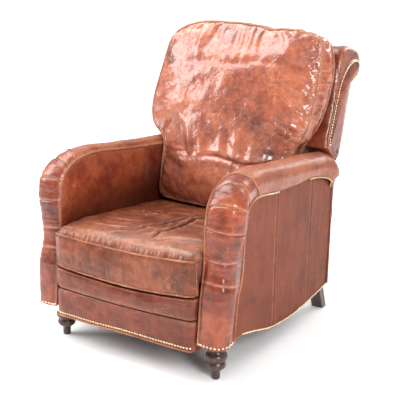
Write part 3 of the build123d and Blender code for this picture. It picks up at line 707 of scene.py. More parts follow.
# ------------------------------------------------------------------ inside arm panels
def inside_arm(side_name, side):
    s_edge = np.linspace(0.0, path_s(y=0.30), 240)
    edge = arm_at(s_edge, 0 * s_edge)[:, 1:]
    anchor_rows = [(0.0, -0.30, 0.150), (path_s(z=0.55), -0.300, 0.290), (path_s(y=-0.40), -0.250, 0.300),
                   (path_s(y=0.30), 0.300, 0.300)]
    ay = table(anchor_rows, s_edge, 1)
    az = table(anchor_rows, s_edge, 2)
    anchor = np.stack([ay, az], 1)
    f = np.linspace(0, 1, 46) ** 1.25
    grid = edge[:, None] + (anchor - edge)[:, None] * f[None, :, None]
    dist = np.linalg.norm(grid - edge[:, None], axis=-1)
    puff = 0.0060 * (1 - np.exp(-dist / 0.045)) * np.clip((0.60 - dist) / 0.2, 0, 1)
    clear = np.clip((grid[..., 1] - 0.455) / 0.06, 0, 1) * np.clip((0.040 - grid[..., 0]) / 0.06, 0, 1)
    puff = puff + clear * 0.0125 * (1 - np.exp(-dist / 0.035))
    p = np.stack([0 * dist, grid[..., 0], grid[..., 1]], -1)
    seed = 51 if side > 0 else 57
    ripples = 0.0016 * fbm(p, 0.11, seed, 2) + 0.0010 * ridge(p, (1, 0.16, 0.04), seed + 1, 4.0)
    x_face = 0.3025 - puff - ripples * np.clip(dist / 0.05, 0, 1)
    x_least = 0.2945 - 0.0125 * clear
    front = np.stack([np.maximum(x_face, x_least), grid[..., 0], grid[..., 1]], -1)
    back = front.copy()
    back[..., 0] = 0.3055
    ob = slab("inside_arm_" + side_name, mirrored(front, side), mirrored(back, side), MATS["leather"], "base",
              flip=side < 0)
    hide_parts("inside_arm_panel_" + side_name)
    wear = 0.35 * bell(dist, 0.010)
    paint(ob, np.r_[wear.ravel(), 0 * wear.ravel()])
    # Painted shade: darker towards the seat and the rear, where the inside arm is shaded
    shade = np.clip((0.580 + 0.10 * (grid[..., 0] + 0.40) - grid[..., 1]) / 0.150, 0, 1)
    shade = 0.92 * shade ** 1.3 * np.clip((dist - 0.02) / 0.06, 0, 1)
    paint(ob, np.r_[shade.ravel(), 0 * shade.ravel()], "darkening_and_painted_shade")


for side_name, side in SIDES:
    inside_arm(side_name, side)


# ------------------------------------------------------------------ outside arm panels and skirt nails
SKIRT = [(-0.434, 0.136), (-0.370, 0.134), (-0.292, 0.118), (-0.230, 0.101), (-0.166, 0.088), (-0.090, 0.080),
         (-0.007, 0.077), (0.060, 0.080), (0.121, 0.086), (0.220, 0.097), (0.314, 0.107)]
PANEL_SEAMS = (-0.150, 0.128)


def coons(bottom, top, left, right):
    """Grid of points between four boundary curves."""
    n, m = len(bottom), len(left)
    u = np.linspace(0, 1, n)[:, None, None]
    v = np.linspace(0, 1, m)[None, :, None]
    b, t = bottom[:, None], top[:, None]
    l, r = left[None], right[None]
    corners = (1 - u) * (1 - v) * bottom[0] + u * (1 - v) * bottom[-1] + (1 - u) * v * top[0] + u * v * top[-1]
    return (1 - v) * b + v * t + (1 - u) * l + u * r - corners


def outside_arm(side_name, side):
    n, m = 190, 120
    welt_s = np.linspace(0.0, path_s(z=0.60) + 0.02, m)
    welt = arm_at(sheared(welt_s, 1 + 0 * welt_s), 1 + 0 * welt_s)[:, 1:]
    bottom = smooth_curve(SKIRT, n)
    bottom[0] = welt[0]
    under_s = np.linspace(welt_s[-1], path_s(y=0.13), 12)
    under = arm_at(sheared(under_s, 1 + 0 * under_s), 1 + 0 * under_s)[:, 1:] + np.linspace(0, 1, 12)[:, None] ** 0.3 * [0, 0.010]
    top = smooth_curve([tuple(q) for q in under] + [(0.25, 0.560), (0.314, 0.510)], n)
    right = smooth_curve([(0.314, 0.110), (0.315, 0.300), (0.314, 0.510)], m)
    grid = coons(bottom, top, welt, right)
    y, z = grid[..., 0], grid[..., 1]
    p = np.stack([0 * y, y, z], -1)
    seed = 61 if side > 0 else 67
    x = 0.3775 + 0.0022 * fbm(p, (1, 0.20, 0.30), seed, 2) + 0.0008 * fbm(p, (1, 0.03, 0.10), seed + 4, 2)
    edge = np.minimum.reduce([z - np.interp(y, bottom[:, 0], bottom[:, 1]), 0.314 - y])
    x = x - 0.0030 * np.exp(-np.clip(edge, 0, 1) / 0.006)
    welt_line = arm_at(sheared(welt_s, 1 + 0 * welt_s), 1 + 0 * welt_s)
    near_welt = np.exp(-np.linspace(0, 1, n)[:, None] * 0.74 / 0.022)
    x = x + (welt_line[None, :, 0] - 0.001 - x) * near_welt
    for k, ys in enumerate(PANEL_SEAMS):
        off = y - ys - 0.02 * (k * 0.4 - 0.2) * (z - 0.1)
        x = x - 0.0026 * bell(off, 0.0028) + 0.0012 * bell(off - 0.008, 0.006)
    front = np.stack([x, y, z], -1)
    back = front.copy()
    back[..., 0] = 0.3685
    ob = slab("outside_arm_" + side_name, mirrored(front, side), mirrored(back, side), MATS["leather_panel"], "base",
              flip=side > 0)
    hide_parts("outside_arm_panel_" + side_name)
    wear = np.zeros_like(x)
    for k, ys in enumerate(PANEL_SEAMS):
        off = y - ys - 0.02 * (k * 0.4 - 0.2) * (z - 0.1)
        wear += 0.55 * bell(off + 0.003, 0.0032)
    wear += 0.45 * bell(edge, 0.006)
    paint(ob, np.r_[wear.ravel(), 0 * wear.ravel()])


def spaced(points, pitch):
    """Points a nail pitch apart along a curve."""
    return smooth_curve(points, max(2, int(round(length_of(np.asarray(points)) / pitch)) + 1))


NAIL_PITCH = 0.0108
skirt_places, skirt_normals = [], []
for side_name, side in SIDES:
    outside_arm(side_name, side)
    row = spaced([(y, z + 0.0085) for y, z in SKIRT[1:-1]] + [(0.304, 0.118)], NAIL_PITCH)
    for y, z in row:
        skirt_places.append((0.3775 * side, y, z))
        skirt_normals.append((side, 0, 0))
    v = np.linspace(0.05, 0.98, 15)
    s0 = 0.0075 + 0 * v
    at = arm_at(s0, v)
    dn = arm_at(s0, np.clip(v + 0.02, 0, 1)) - arm_at(s0, np.clip(v - 0.02, 0, 1))
    for q, d in zip(at, dn):
        nrm = np.array([-d[1], d[0], 0])
        nrm = -nrm if nrm @ (q - np.array([0.335, -0.46, q[2]])) < 0 else nrm
        skirt_places.append((q[0] * side, q[1], q[2]))
        skirt_normals.append((nrm[0] * side, nrm[1], 0))
nail_heads("skirt_nail_heads", skirt_places, skirt_normals, "base", "skirt_nails")


# ------------------------------------------------------------------ arm rear bands
BAND_REAR = [(0.115, 0.322), (0.180, 0.318), (0.240, 0.320), (0.290, 0.326), (0.340, 0.338), (0.420, 0.345),
             (0.500, 0.346), (0.545, 0.342), (0.575, 0.334)]
for side_name, side in SIDES:
    rings = []
    zs = np.linspace(0.118, 0.566, 110)
    for z in zs:
        yr = table(BAND_REAR, z)
        shape = [(0.308, 0.3145), (0.308, yr - 0.010), (0.316, yr - 0.002), (0.343, yr), (0.368, yr - 0.003),
                 (0.3785, yr - 0.012), (0.379, 0.3185), (0.374, 0.3145)]
        rings.append([(x, y, z) for x, y in smooth_curve(shape, 44, closed=True)])
    rings = np.array(rings)
    ob = loft("arm_rear_band_" + side_name + "_leather", mirrored(rings, side), MATS["leather_dark"], "base",
              flip=side < 0)
    co, _ = co_no(ob)
    push(ob, 0.0016 * fbm(co, (0.08, 0.08, 0.05), 71, 2) * np.clip((co[:, 1] - 0.318) / 0.01, 0, 1))
    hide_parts("arm_rear_band_" + side_name)
    rear_welt = [(0.3790, 0.3150, 0.118), (0.3795, 0.3155, 0.30), (0.3790, 0.3155, 0.508)]
    piping("arm_rear_piping_" + side_name, [mirrored(rear_welt, side)], 0.0032, "base")


# ------------------------------------------------------------------ footrest channels
SEAT_HALF = 0.290
SEAM_Z = 0.216
FR_LOW_Z = 0.1085
FR_TOP_Z = 0.2915


def sag(x):
    """How far the middle of the seat's front border and of the channels below it hangs."""
    return 0.018 * np.clip(1 - (np.asarray(x) / SEAT_HALF) ** 2, 0, 1)




def roll_ring(y_front, y_back, z0, z1, count):
    """Closed cross-section of a puffed channel, flat at its back."""
    zm = (z0 + z1) / 2
    h = (z1 - z0) / 2
    pts = [(y_back, zm + h * 0.90), (y_back - 0.010, zm + h * 0.99), (y_front + 0.010, zm + h * 0.965),
           (y_front + 0.0032, zm + h * 0.80), (y_front, zm + h * 0.20), (y_front + 0.0012, zm - h * 0.45),
           (y_front + 0.0045, zm - h * 0.84), (y_front + 0.011, zm - h * 0.965), (y_back - 0.012, zm - h * 0.99),
           (y_back, zm - h * 0.90)]
    return smooth_curve(pts, count, closed=True)


def channel_points(x, z0, z1, seed, sag_top, sag_low, count=96, swell=0.012):
    """Rings of one padded channel across the chair, drawn in at its ends."""
    rings = []
    for xi in x:
        end = np.clip((SEAT_HALF - abs(xi)) / 0.034, 0, 1)
        round_end = math.sqrt(max(0.0, 1 - (1 - end) ** 2))
        top, low = z1 - sag_top * sag(xi), z0 - sag_low * sag(xi)
        ring = roll_ring(-0.518 - (swell + 0.008) * round_end, -0.481, low, top, count)
        mid = np.array([-0.495, (low + top) / 2])
        ring = mid + (ring - mid) * np.array([1.0, 0.93 + 0.07 * round_end])
        rings.append(np.column_stack([np.full(count, xi), ring]))
    rings = np.array(rings)
    y, z = rings[..., 1], rings[..., 2]
    h = (z1 - z0) / 2
    off = np.abs(z - (z0 + z1) / 2) / h
    face = np.clip((-0.487 - y) / 0.02, 0, 1)
    p = np.stack([rings[..., 0], 0 * y, z], -1)
    pleat = fbm(p, (0.014, 1, 0.06), seed, 2) * np.clip(off * 2.0 - 1.1, 0, 1)
    soft = fbm(p, (0.12, 1, 0.06), seed + 3, 2)
    crease = ridge(p, (0.22, 1, 0.020), seed + 5, 5.0)
    rings[..., 1] -= face * (0.0011 * pleat + 0.0030 * soft - 0.0012 * crease)
    return rings


FR_X = np.r_[-SEAT_HALF, np.linspace(-SEAT_HALF + 0.001, SEAT_HALF - 0.001, 300), SEAT_HALF]
fr_low = channel_points(FR_X, FR_LOW_Z, SEAM_Z - 0.0003, 81, 0.35, 0.0)
fr_high = channel_points(FR_X, SEAM_Z + 0.0003, FR_TOP_Z, 85, 1.0, 0.35)
for key, rings in (("lower", fr_low), ("upper", fr_high)):
    ob = loft("footrest_" + key + "_leather", rings, MATS["leather_foot"], "footrest", flip=True)
    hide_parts("footrest_channel_" + key)
    low_z, top_z = (FR_LOW_Z, SEAM_Z) if key == "lower" else (SEAM_Z, FR_TOP_Z)
    off = np.abs(rings[..., 2] - (low_z + top_z) / 2) / ((top_z - low_z) / 2)
    wear = 0.22 * np.clip(off - 0.60, 0, 0.3) * 3
    paint(ob, np.r_[wear.ravel(), 0, 0])


def front_y(rings, x, z):
    """Where the front of a channel stands at a point across the chair and a height."""
    i = int(np.argmin(np.abs(rings[:, 0, 0] - x)))
    ring = rings[i]
    near = ring[ring[:, 1] < -0.500]
    order = np.argsort(near[:, 2])
    return float(np.interp(z, near[order, 2], near[order, 1]))


FR_NAIL_Z = 0.1255
x_row = np.linspace(-0.279, 0.279, 52)
nail_heads("footrest_nail_heads", [(x, front_y(fr_low, x, FR_NAIL_Z) - 0.0002, FR_NAIL_Z) for x in x_row],
           [(0, -1, -0.25)] * len(x_row), "footrest", "footrest_nails")
low_line = [(x, front_y(fr_low, x, FR_LOW_Z + 0.010) - 0.001, FR_LOW_Z + 0.0065) for x in np.linspace(-0.284, 0.284, 60)]
piping("footrest_piping", [low_line], 0.0034, "footrest")


# ------------------------------------------------------------------ seat cushion
SEAT_SIDE = [(-0.506, 0.340), (-0.507, 0.318), (-0.5075, 0.303), (-0.514, 0.2985), (-0.5215, 0.3015), (-0.5275, 0.322),
             (-0.5310, 0.360), (-0.5290, 0.395), (-0.5235, 0.4115), (-0.5160, 0.4225), (-0.498, 0.4330),
             (-0.450, 0.4400), (-0.360, 0.4400), (-0.220, 0.4330), (-0.080, 0.4240), (0.040, 0.4160), (0.105, 0.4080),
             (0.126, 0.3960), (0.130, 0.3720), (0.126, 0.3480), (0.110, 0.3405), (-0.020, 0.3402), (-0.180, 0.3402),
             (-0.340, 0.3402), (-0.470, 0.3402)]


def seat_rings(x_list, count=330):
    """Closed side sections of the seat cushion at stations across it."""
    side = smooth_curve(SEAT_SIDE, count, closed=True)
    rings = []
    for xi in x_list:
        edge = np.clip((SEAT_HALF - abs(xi)) / 0.040, 0, 1)
        drop = 0.016 * (1 - np.sqrt(np.clip(1 - (1 - edge) ** 2, 0, 1)))
        crown = 0.003 * (1 - (xi / SEAT_HALF) ** 2)
        y, z = side[:, 0].copy(), side[:, 1].copy()
        upper = np.clip((z - 0.405) / 0.025, 0, 1)
        z += upper * (crown - drop)
        front = np.clip((-0.480 - y) / 0.03, 0, 1)
        y -= 0.007 * front
        z += 0.004 * front * np.clip((z - 0.36) / 0.03, 0, 1)
        z -= front * sag(xi) * np.interp(z, [0.298, 0.330, 0.400, 0.425, 0.445], [1.0, 0.9, 0.85, 0.70, 0.35])
        y = y + (1 - edge) ** 2 * 0.012 * np.clip((-0.49 - y) / 0.03, 0, 1)
        rings.append(np.column_stack([np.full(count, xi), y, z]))
    return np.array(rings)


SEAT_X = np.r_[-SEAT_HALF, np.linspace(-SEAT_HALF + 0.0012, SEAT_HALF - 0.0012, 330), SEAT_HALF]


def crease_field(p, lines, width, depth):
    """Sharp valleys with soft shoulders along given lines (x0, y0, x1, y1, strength)."""
    total = 0.0
    for n, (x0, y0, x1, y1, k) in enumerate(lines):
        d = np.array([x1 - x0, y1 - y0])
        long = np.linalg.norm(d)
        d = d / long
        rel = np.stack([p[..., 0] - x0, p[..., 1] - y0], -1)
        t = rel @ d
        wob = 0.010 * noise(np.stack([t, 0 * t, 0 * t], -1), (0.06, 1, 1), 130 + n)
        off = rel @ np.array([-d[1], d[0]]) - wob
        ends = np.clip(t / 0.05, 0, 1) * np.clip((long - t) / 0.06, 0, 1)
        total = total + k * ends * (-bell(off, width) + 0.42 * bell(off - 2.4 * width, 1.9 * width)
                                    + 0.35 * bell(off + 2.6 * width, 2.1 * width))
    return depth * total


SEAT_CREASES = [(0.074, -0.465, 0.058, -0.080, 1.6), (-0.012, -0.430, 0.032, -0.040, 0.9),
                (0.085, -0.470, 0.265, -0.400, 0.9), (-0.230, -0.455, -0.020, -0.400, 0.6),
                (-0.250, -0.350, -0.040, -0.330, 0.5), (0.110, -0.300, 0.270, -0.120, 0.6),
                (-0.260, -0.220, -0.060, -0.160, 0.4), (0.150, -0.100, 0.270, 0.040, 0.5)]
SEAT_SCRATCHES = [(-0.240, -0.100, -0.070, -0.260, 1.0), (-0.160, -0.100, -0.030, -0.220, 1.0),
                  (-0.060, -0.060, 0.010, -0.120, 0.8), (-0.200, -0.380, -0.080, -0.180, 0.7),
                  (-0.270, -0.240, -0.170, -0.330, 0.8), (0.120, -0.380, 0.260, -0.300, 0.7),
                  (0.020, -0.480, 0.140, -0.360, 0.6), (-0.130, -0.420, -0.020, -0.480, 0.7)]


def seat_detail(rings):
    """Wrinkles of an old leather seat: long creases, small puckers at the welt, a rippled border."""
    out = rings.copy()
    y, z = rings[..., 1], rings[..., 2]
    top = np.clip((z - 0.400) / 0.018, 0, 1) * np.clip((0.120 - y) / 0.02, 0, 1) * np.clip((y + 0.522) / 0.03, 0, 1)
    p = rings * np.array([1, 1, 0])
    lines = crease_field(rings, SEAT_CREASES, 0.0062, 0.0070)
    fold = ridge(p, (0.20, 0.060, 1), 91, 5.0) * 0.0034 - 0.0010
    broad = fbm(p, (0.20, 0.13, 1), 92, 2) * 0.0040
    small = fbm(p, (0.040, 0.022, 1), 93, 3) * 0.0011 + broad
    out[..., 2] += top * (lines + fold + small)
    border = np.clip((-0.512 - y) / 0.008, 0, 1)
    q = rings * np.array([1, 0, 1])
    pleat = fbm(q, (0.012, 1, 0.07), 97, 2) * np.clip(np.abs(z - 0.362) / 0.045, 0, 1)
    wave = fbm(q, (0.10, 1, 0.04), 99, 2)
    out[..., 1] -= border * (0.0013 * pleat + 0.0024 * wave)
    return out


seat_mesh = seat_detail(seat_rings(SEAT_X))
seat = loft("seat_cushion_leather", seat_mesh, MATS["leather_seat"], "seat", flip=True)
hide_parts("seat_cushion")
sy, sz = seat_mesh[..., 1], seat_mesh[..., 2]
on_top = sz > 0.392
seat_wear = 0.34 * bell(sy + 0.503, 0.013) * on_top + 0.12 * bell(sy + 0.45, 0.05) * on_top
seat_creases = crease_field(seat_mesh, SEAT_CREASES, 0.0055, 1.0)
seat_wear += 0.40 * np.clip(seat_creases, 0, 1) * on_top
seat_wear += 0.75 * np.clip(crease_field(seat_mesh, SEAT_SCRATCHES, 0.0018, -1.0), 0, 1) * on_top
# Painted shade in the valleys of the creases
seat_crease_painted_shade = 0.75 * np.clip(-seat_creases, 0, 1) * on_top
paint(seat, np.r_[seat_wear.ravel(), 0, 0])
paint(seat, np.r_[seat_crease_painted_shade.ravel(), 0, 0], "darkening_and_painted_shade")


def seat_edge(row, lift):
    """Line across the seat's front along one row of its mesh."""
    pts = seat_mesh[1:-1:3, row] + np.array([0.0, -lift[0], lift[1]])
    for _ in range(4):
        pts[1:-1] = (pts[:-2] + 2 * pts[1:-1] + pts[2:]) / 4
    return pts


def seat_row(y, z):
    """Row of the seat's mesh that passes nearest to a point of its side section."""
    side = smooth_curve(SEAT_SIDE, seat_mesh.shape[1], closed=True)
    return int(np.argmin(np.hypot(side[:, 0] - y, side[:, 1] - z)))


front_top = seat_edge(seat_row(-0.5235, 0.4115), (0.0012, 0.0006))
front_low = seat_edge(seat_row(-0.5215, 0.3015), (0.0010, -0.0006))
left_top = [(SEAT_HALF - 0.002, y, z) for y, z in ((-0.516, 0.414), (-0.45, 0.420), (-0.30, 0.422), (-0.10, 0.414), (0.10, 0.396))]
right_top = [(-x, y, z) for x, y, z in left_top]
left_down = [(SEAT_HALF - 0.002, y, z) for y, z in ((-0.5165, 0.414), (-0.518, 0.38), (-0.518, 0.34), (-0.514, 0.303))]
right_down = [(-x, y, z) for x, y, z in left_down]
piping("seat_piping", [front_top, front_low, left_top, right_top, left_down, right_down], 0.0036, "seat")


# ------------------------------------------------------------------ back: shell, scroll, facings
BACK_FRONT = [(0.290, 0.150), (0.440, 0.188), (0.680, 0.234), (0.800, 0.268), (0.897, 0.303), (1.030, 0.340)]
BACK_REAR = [(0.328, 0.310), (0.612, 0.345), (0.905, 0.424)]
SHELL_X = 0.381
scroll_arc = [(0.462 + 0.067 * math.cos(math.radians(a)), 0.966 + 0.067 * math.sin(math.radians(a)))
              for a in range(88, -116, -12)]
SHELL = ([(0.240, 0.676), (0.252, 0.735), (0.268, 0.800), (0.287, 0.855), (0.303, 0.900), (0.318, 0.945), (0.331, 0.990),
          (0.345, 1.022), (0.366, 1.040), (0.402, 1.045), (0.436, 1.039)] + scroll_arc
         + [(0.424, 0.894), (0.416, 0.872), (0.395, 0.800), (0.372, 0.715), (0.352, 0.640), (0.346, 0.615), (0.338, 0.606),
            (0.322, 0.616), (0.290, 0.642), (0.258, 0.668)])


def inset(curve, amount):
    """A closed 2-D curve moved inwards along its normal."""
    t = np.roll(curve, -1, 0) - np.roll(curve, 1, 0)
    nrm = np.stack([-t[:, 1], t[:, 0]], 1)
    nrm /= np.linalg.norm(nrm, axis=1)[:, None] + 1e-12
    area2 = np.sum(curve[:, 0] * np.roll(curve[:, 1], -1) - np.roll(curve[:, 0], -1) * curve[:, 1])
    return curve + nrm * amount * (1 if area2 > 0 else -1)


ROUND = 0.026
shell_curve = smooth_curve(SHELL, 420, closed=True)
stations = list(SHELL_X - ROUND * (1 - np.cos(np.linspace(0, math.pi / 2, 12))))
half_x = np.r_[np.linspace(0, SHELL_X - ROUND, 90, endpoint=False), sorted(stations)]
shell_x = np.r_[-half_x[::-1][:-1], half_x]


def shell_rings():
    rings = []
    for xi in shell_x:
        d = max(0.0, abs(xi) - (SHELL_X - ROUND))
        amount = ROUND * 0.50 * (1 - math.sqrt(max(0.0, 1 - (d / ROUND) ** 2)))
        c = inset(shell_curve, amount)
        rings.append(np.column_stack([np.full(len(c), xi), c]))
    rings = np.array(rings)
    y, z = rings[..., 1], rings[..., 2]
    nrm = inset(shell_curve, -1.0) - shell_curve
    on_top = np.clip((z - 0.86) / 0.10, 0, 1) * np.clip((y - 0.29) / 0.03, 0, 1)
    rad = np.arctan2(z - 0.966, y - 0.462)
    p = np.stack([rings[..., 0], 0.07 * rad, 0 * z], -1)
    pleat = fbm(p, (0.030, 0.30, 1), 151, 2) * 0.0022 + ridge(p, (0.060, 0.22, 1), 153, 5.0) * 0.0030
    q = rings.copy()
    soft = fbm(q, (0.14, 0.10, 0.09), 157, 2) * 0.0022
    edge = np.clip((np.abs(rings[..., 0]) - 0.29) / 0.06, 0, 1) * np.clip((0.95 - z) / 0.1, 0, 1)
    side_pleat = ridge(q, (0.5, 0.05, 0.045), 159, 5.0) * 0.0022 * edge
    inner = np.clip((SHELL_X - np.abs(rings[..., 0])) / 0.012, 0, 1)
    amount = (on_top * pleat + soft + side_pleat) * inner
    rings[..., 1:] += nrm[None] * amount[..., None]
    return rings


def loft_at(name, rings, centre, material, body, flip=False):
    """loft() with its two end fans centred on one point of the section."""
    n, m, _ = rings.shape
    ends = [np.r_[rings[0, 0, 0], centre], np.r_[rings[-1, 0, 0], centre]]
    verts = np.vstack([rings.reshape(-1, 3), ends])
    faces = grid_faces(n, m, True)
    for j in range(m):
        k = (j + 1) % m
        faces.append((k, j, n * m))
        faces.append(((n - 1) * m + j, (n - 1) * m + k, n * m + 1))
    if flip:
        faces = [tuple(reversed(f)) for f in faces]
    return make(name, verts, faces, material, body)


shell_mesh = shell_rings()
shell = loft_at("back_shell_leather", shell_mesh, (0.385, 0.930), MATS["leather"], "back", flip=True)
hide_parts("back_wing_left", "back_wing_right", "back_scroll")
shell_wear = 0.35 * bell(np.abs(shell_mesh[..., 0]) - (SHELL_X - 0.004), 0.006)
paint(shell, np.r_[shell_wear.ravel(), 0, 0])

FACING = [(0.252, 0.686), (0.259, 0.727), (0.286, 0.801), (0.322, 0.894), (0.348, 0.928), (0.380, 0.957), (0.420, 0.978),
          (0.462, 0.986), (0.494, 0.982), (0.509, 0.962), (0.494, 0.936), (0.465, 0.920), (0.430, 0.903),
          (0.416, 0.872), (0.381, 0.758), (0.351, 0.655), (0.338, 0.630), (0.305, 0.652), (0.275, 0.678)]
facing_row = smooth_curve(FACING, 400, closed=True)
facing_centre = np.array([0.372, 0.890])
facing_places, facing_normals, facing_welts = [], [], []
for side_name, side in SIDES:
    rings = []
    for off, x in ((0.0060, 0.3765), (0.0070, 0.3800), (0.0062, 0.3835), (0.0035, 0.3852), (-0.0005, 0.3858),
                   (-0.006, 0.3868), (-0.014, 0.3885), (-0.024, 0.3900)):
        c = inset(facing_row, -off)
        rings.append(np.column_stack([np.full(len(c), x), c]))
    outer = rings[-1]
    for f, x in ((0.30, 0.3910), (0.60, 0.3918), (0.85, 0.3920)):
        c = outer[:, 1:] + (facing_centre - outer[:, 1:]) * f
        rings.append(np.column_stack([np.full(len(c), x), c]))
    rings = np.array(rings)
    rings[4:, :, 0] += 0.0012 * fbm(rings[4:], (1, 0.05, 0.09), 171, 2)
    ob = loft_at("back_facing_" + side_name + "_leather", mirrored(rings, side), facing_centre, MATS["leather"], "back",
                 flip=side > 0)
    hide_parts("back_facing_" + side_name)
    facing_wear = np.zeros(rings.shape[:2])
    facing_wear[1:3] = 0.40
    paint(ob, np.r_[facing_wear.ravel(), 0, 0])
    # A darker band painted along the nail row
    facing_nail_row_darkening = np.zeros(rings.shape[:2])
    facing_nail_row_darkening[3:6] = 0.60
    paint(ob, np.r_[facing_nail_row_darkening.ravel(), 0, 0], "darkening_and_painted_shade")
    for y, z in spaced(smooth_curve(FACING[:-3], 300), NAIL_PITCH):
        facing_places.append((0.3858 * side, y, z))
        facing_normals.append((side, 0, 0))
nail_heads("facing_nail_heads", facing_places, facing_normals, "back", "back_facing_nails", 0.0038, 0.0034)


# ------------------------------------------------------------------ back: lower pad, rear cover, aprons
def sheet_box(name, x_half, z0, z1, y_front, y_back, material, body, nodes, seed, puff=0.004, n=90, m=80,
              front_sign=-1, seams=()):
    """A padded upright panel across the chair between two (z) -> y profiles, puffed on one face."""
    x = np.linspace(-1, 1, n)
    z = np.linspace(z0, z1, m)
    xx, zz = np.meshgrid(x, z, indexing="ij")
    half = x_half(zz) if callable(x_half) else x_half
    px = xx * half
    near = np.vectorize(y_front)(zz)
    far = np.vectorize(y_back)(zz)
    edge = np.minimum(np.minimum((1 - np.abs(xx)) * half, zz - z0), z1 - zz)
    p = np.stack([px, 0 * zz, zz], -1)
    lift = puff * (1 - np.exp(-np.clip(edge, 0, 1) / 0.018)) + 0.0016 * fbm(p, (0.16, 1, 0.12), seed, 3) * np.clip(edge / 0.02, 0, 1)
    for xs in seams:
        lift = lift - 0.0028 * bell(px - xs, 0.0032)
    if front_sign < 0:
        near = near - lift
    else:
        far = far + lift
    front = np.stack([px, near, zz], -1)
    back = np.stack([px, far, zz], -1)
    ob = slab(name, front, back, material, body, flip=True)
    if nodes:
        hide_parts(*nodes)
    wear = 0.30 * bell(edge, 0.005)
    paint(ob, np.r_[wear.ravel(), wear.ravel()])
    return ob


def back_front(z):
    return float(table(BACK_FRONT, z))


def back_rear(z):
    return float(table(BACK_REAR, z))


sheet_box("inside_back_leather", 0.2835, 0.2905, 0.720, lambda z: back_front(z) + 0.004, lambda z: back_front(z) + 0.019,
          MATS["leather_dark"], "back", ("inside_back_pad",), 181)
sheet_box("outside_back_leather", lambda z: 0.2835 + 0.0885 * np.clip((z - 0.614) / 0.010, 0, 1), 0.3285, 0.893,
          lambda z: back_rear(z) - 0.0045, lambda z: back_rear(z) - 0.001, MATS["leather"], "back",
          ("outside_back_cover",), 187, 0.0045, 150, 150, 1, (-0.140, 0.140))
sheet_box("back_apron_leather", 0.2835, 0.2525, 0.3255, lambda z: 0.2738, lambda z: 0.2778, MATS["leather_dark"], "back",
          ("back_lower_apron",), 191, 0.0012, 90, 24, 1)
sheet_box("rear_apron_leather", 0.3055, 0.1125, 0.2755, lambda z: 0.3008, lambda z: 0.3122, MATS["leather_dark"], "base",
          ("rear_apron",), 193, 0.0035, 90, 40, 1)
rear_edge = [(0.370, back_rear(z) + 0.0010, z) for z in np.linspace(0.628, 0.890, 24)]
low_edge = [(0.2825, back_rear(z) + 0.0010, z) for z in np.linspace(0.330, 0.610, 24)]
piping("outside_back_piping", [mirrored(c, s) for c in (rear_edge, low_edge) for _, s in SIDES], 0.0034, "back")


# ------------------------------------------------------------------ back pillow
# Front welt of the pillow: z, right half width, left half width
PILLOW_EDGE = [(0.438, 0.262, 0.282), (0.480, 0.276, 0.284), (0.540, 0.282, 0.285), (0.600, 0.284, 0.286),
               (0.650, 0.287, 0.289), (0.680, 0.296, 0.305), (0.705, 0.314, 0.338), (0.735, 0.328, 0.356),
               (0.775, 0.340, 0.364), (0.830, 0.348, 0.361), (0.880, 0.353, 0.349), (0.930, 0.356, 0.338),
               (0.980, 0.356, 0.326), (1.020, 0.356, 0.317), (1.055, 0.354, 0.307)]
PILLOW_TOP = [(0.350, 1.072), (0.318, 1.084), (0.277, 1.096), (0.207, 1.105), (0.150, 1.103), (0.132, 1.100),
              (0.105, 1.109), (0.060, 1.116), (-0.045, 1.124), (-0.130, 1.126), (-0.190, 1.122), (-0.245, 1.106),
              (-0.282, 1.083)]
PILLOW_FRONT = [(0.430, 0.084), (0.540, 0.100), (0.660, 0.126), (0.780, 0.150), (0.880, 0.168), (0.970, 0.184),
                (1.040, 0.198), (1.086, 0.208), (1.126, 0.222)]
PILLOW_BACK = [(0.430, 0.184), (0.550, 0.206), (0.680, 0.230), (0.800, 0.264), (0.897, 0.298), (0.970, 0.316),
               (1.030, 0.333), (1.110, 0.342)]
PILLOW_MID = np.array([0.0, 0.770])


def smooth_step(t):
    t = np.clip(t, 0, 1)
    return t * t * (3 - 2 * t)


def pillow_outline(count):
    """Closed (x, z) outline of the pillow's front welt, from the bottom, up the right side and over the top."""
    right = [(r, z) for z, r, _ in PILLOW_EDGE]
    left = [(-l, z) for z, _, l in reversed(PILLOW_EDGE)]
    low = [(-0.262, 0.431), (-0.20, 0.428), (-0.10, 0.4265), (0.0, 0.426), (0.10, 0.4265), (0.20, 0.429), (0.245, 0.4315)]
    return smooth_curve(right + PILLOW_TOP + left + low, count, True)


def pillow_seam_y(xz):
    """Depth of the front welt. It bows forwards where the stuffing pushes it over the seat."""
    x, z = xz[..., 0], xz[..., 1]
    low = np.clip((0.56 - z) / 0.13, 0, 1)
    return table(PILLOW_FRONT, z) + 0.012 - 0.036 * low * np.clip(1 - (x / 0.285) ** 2, 0, 1)


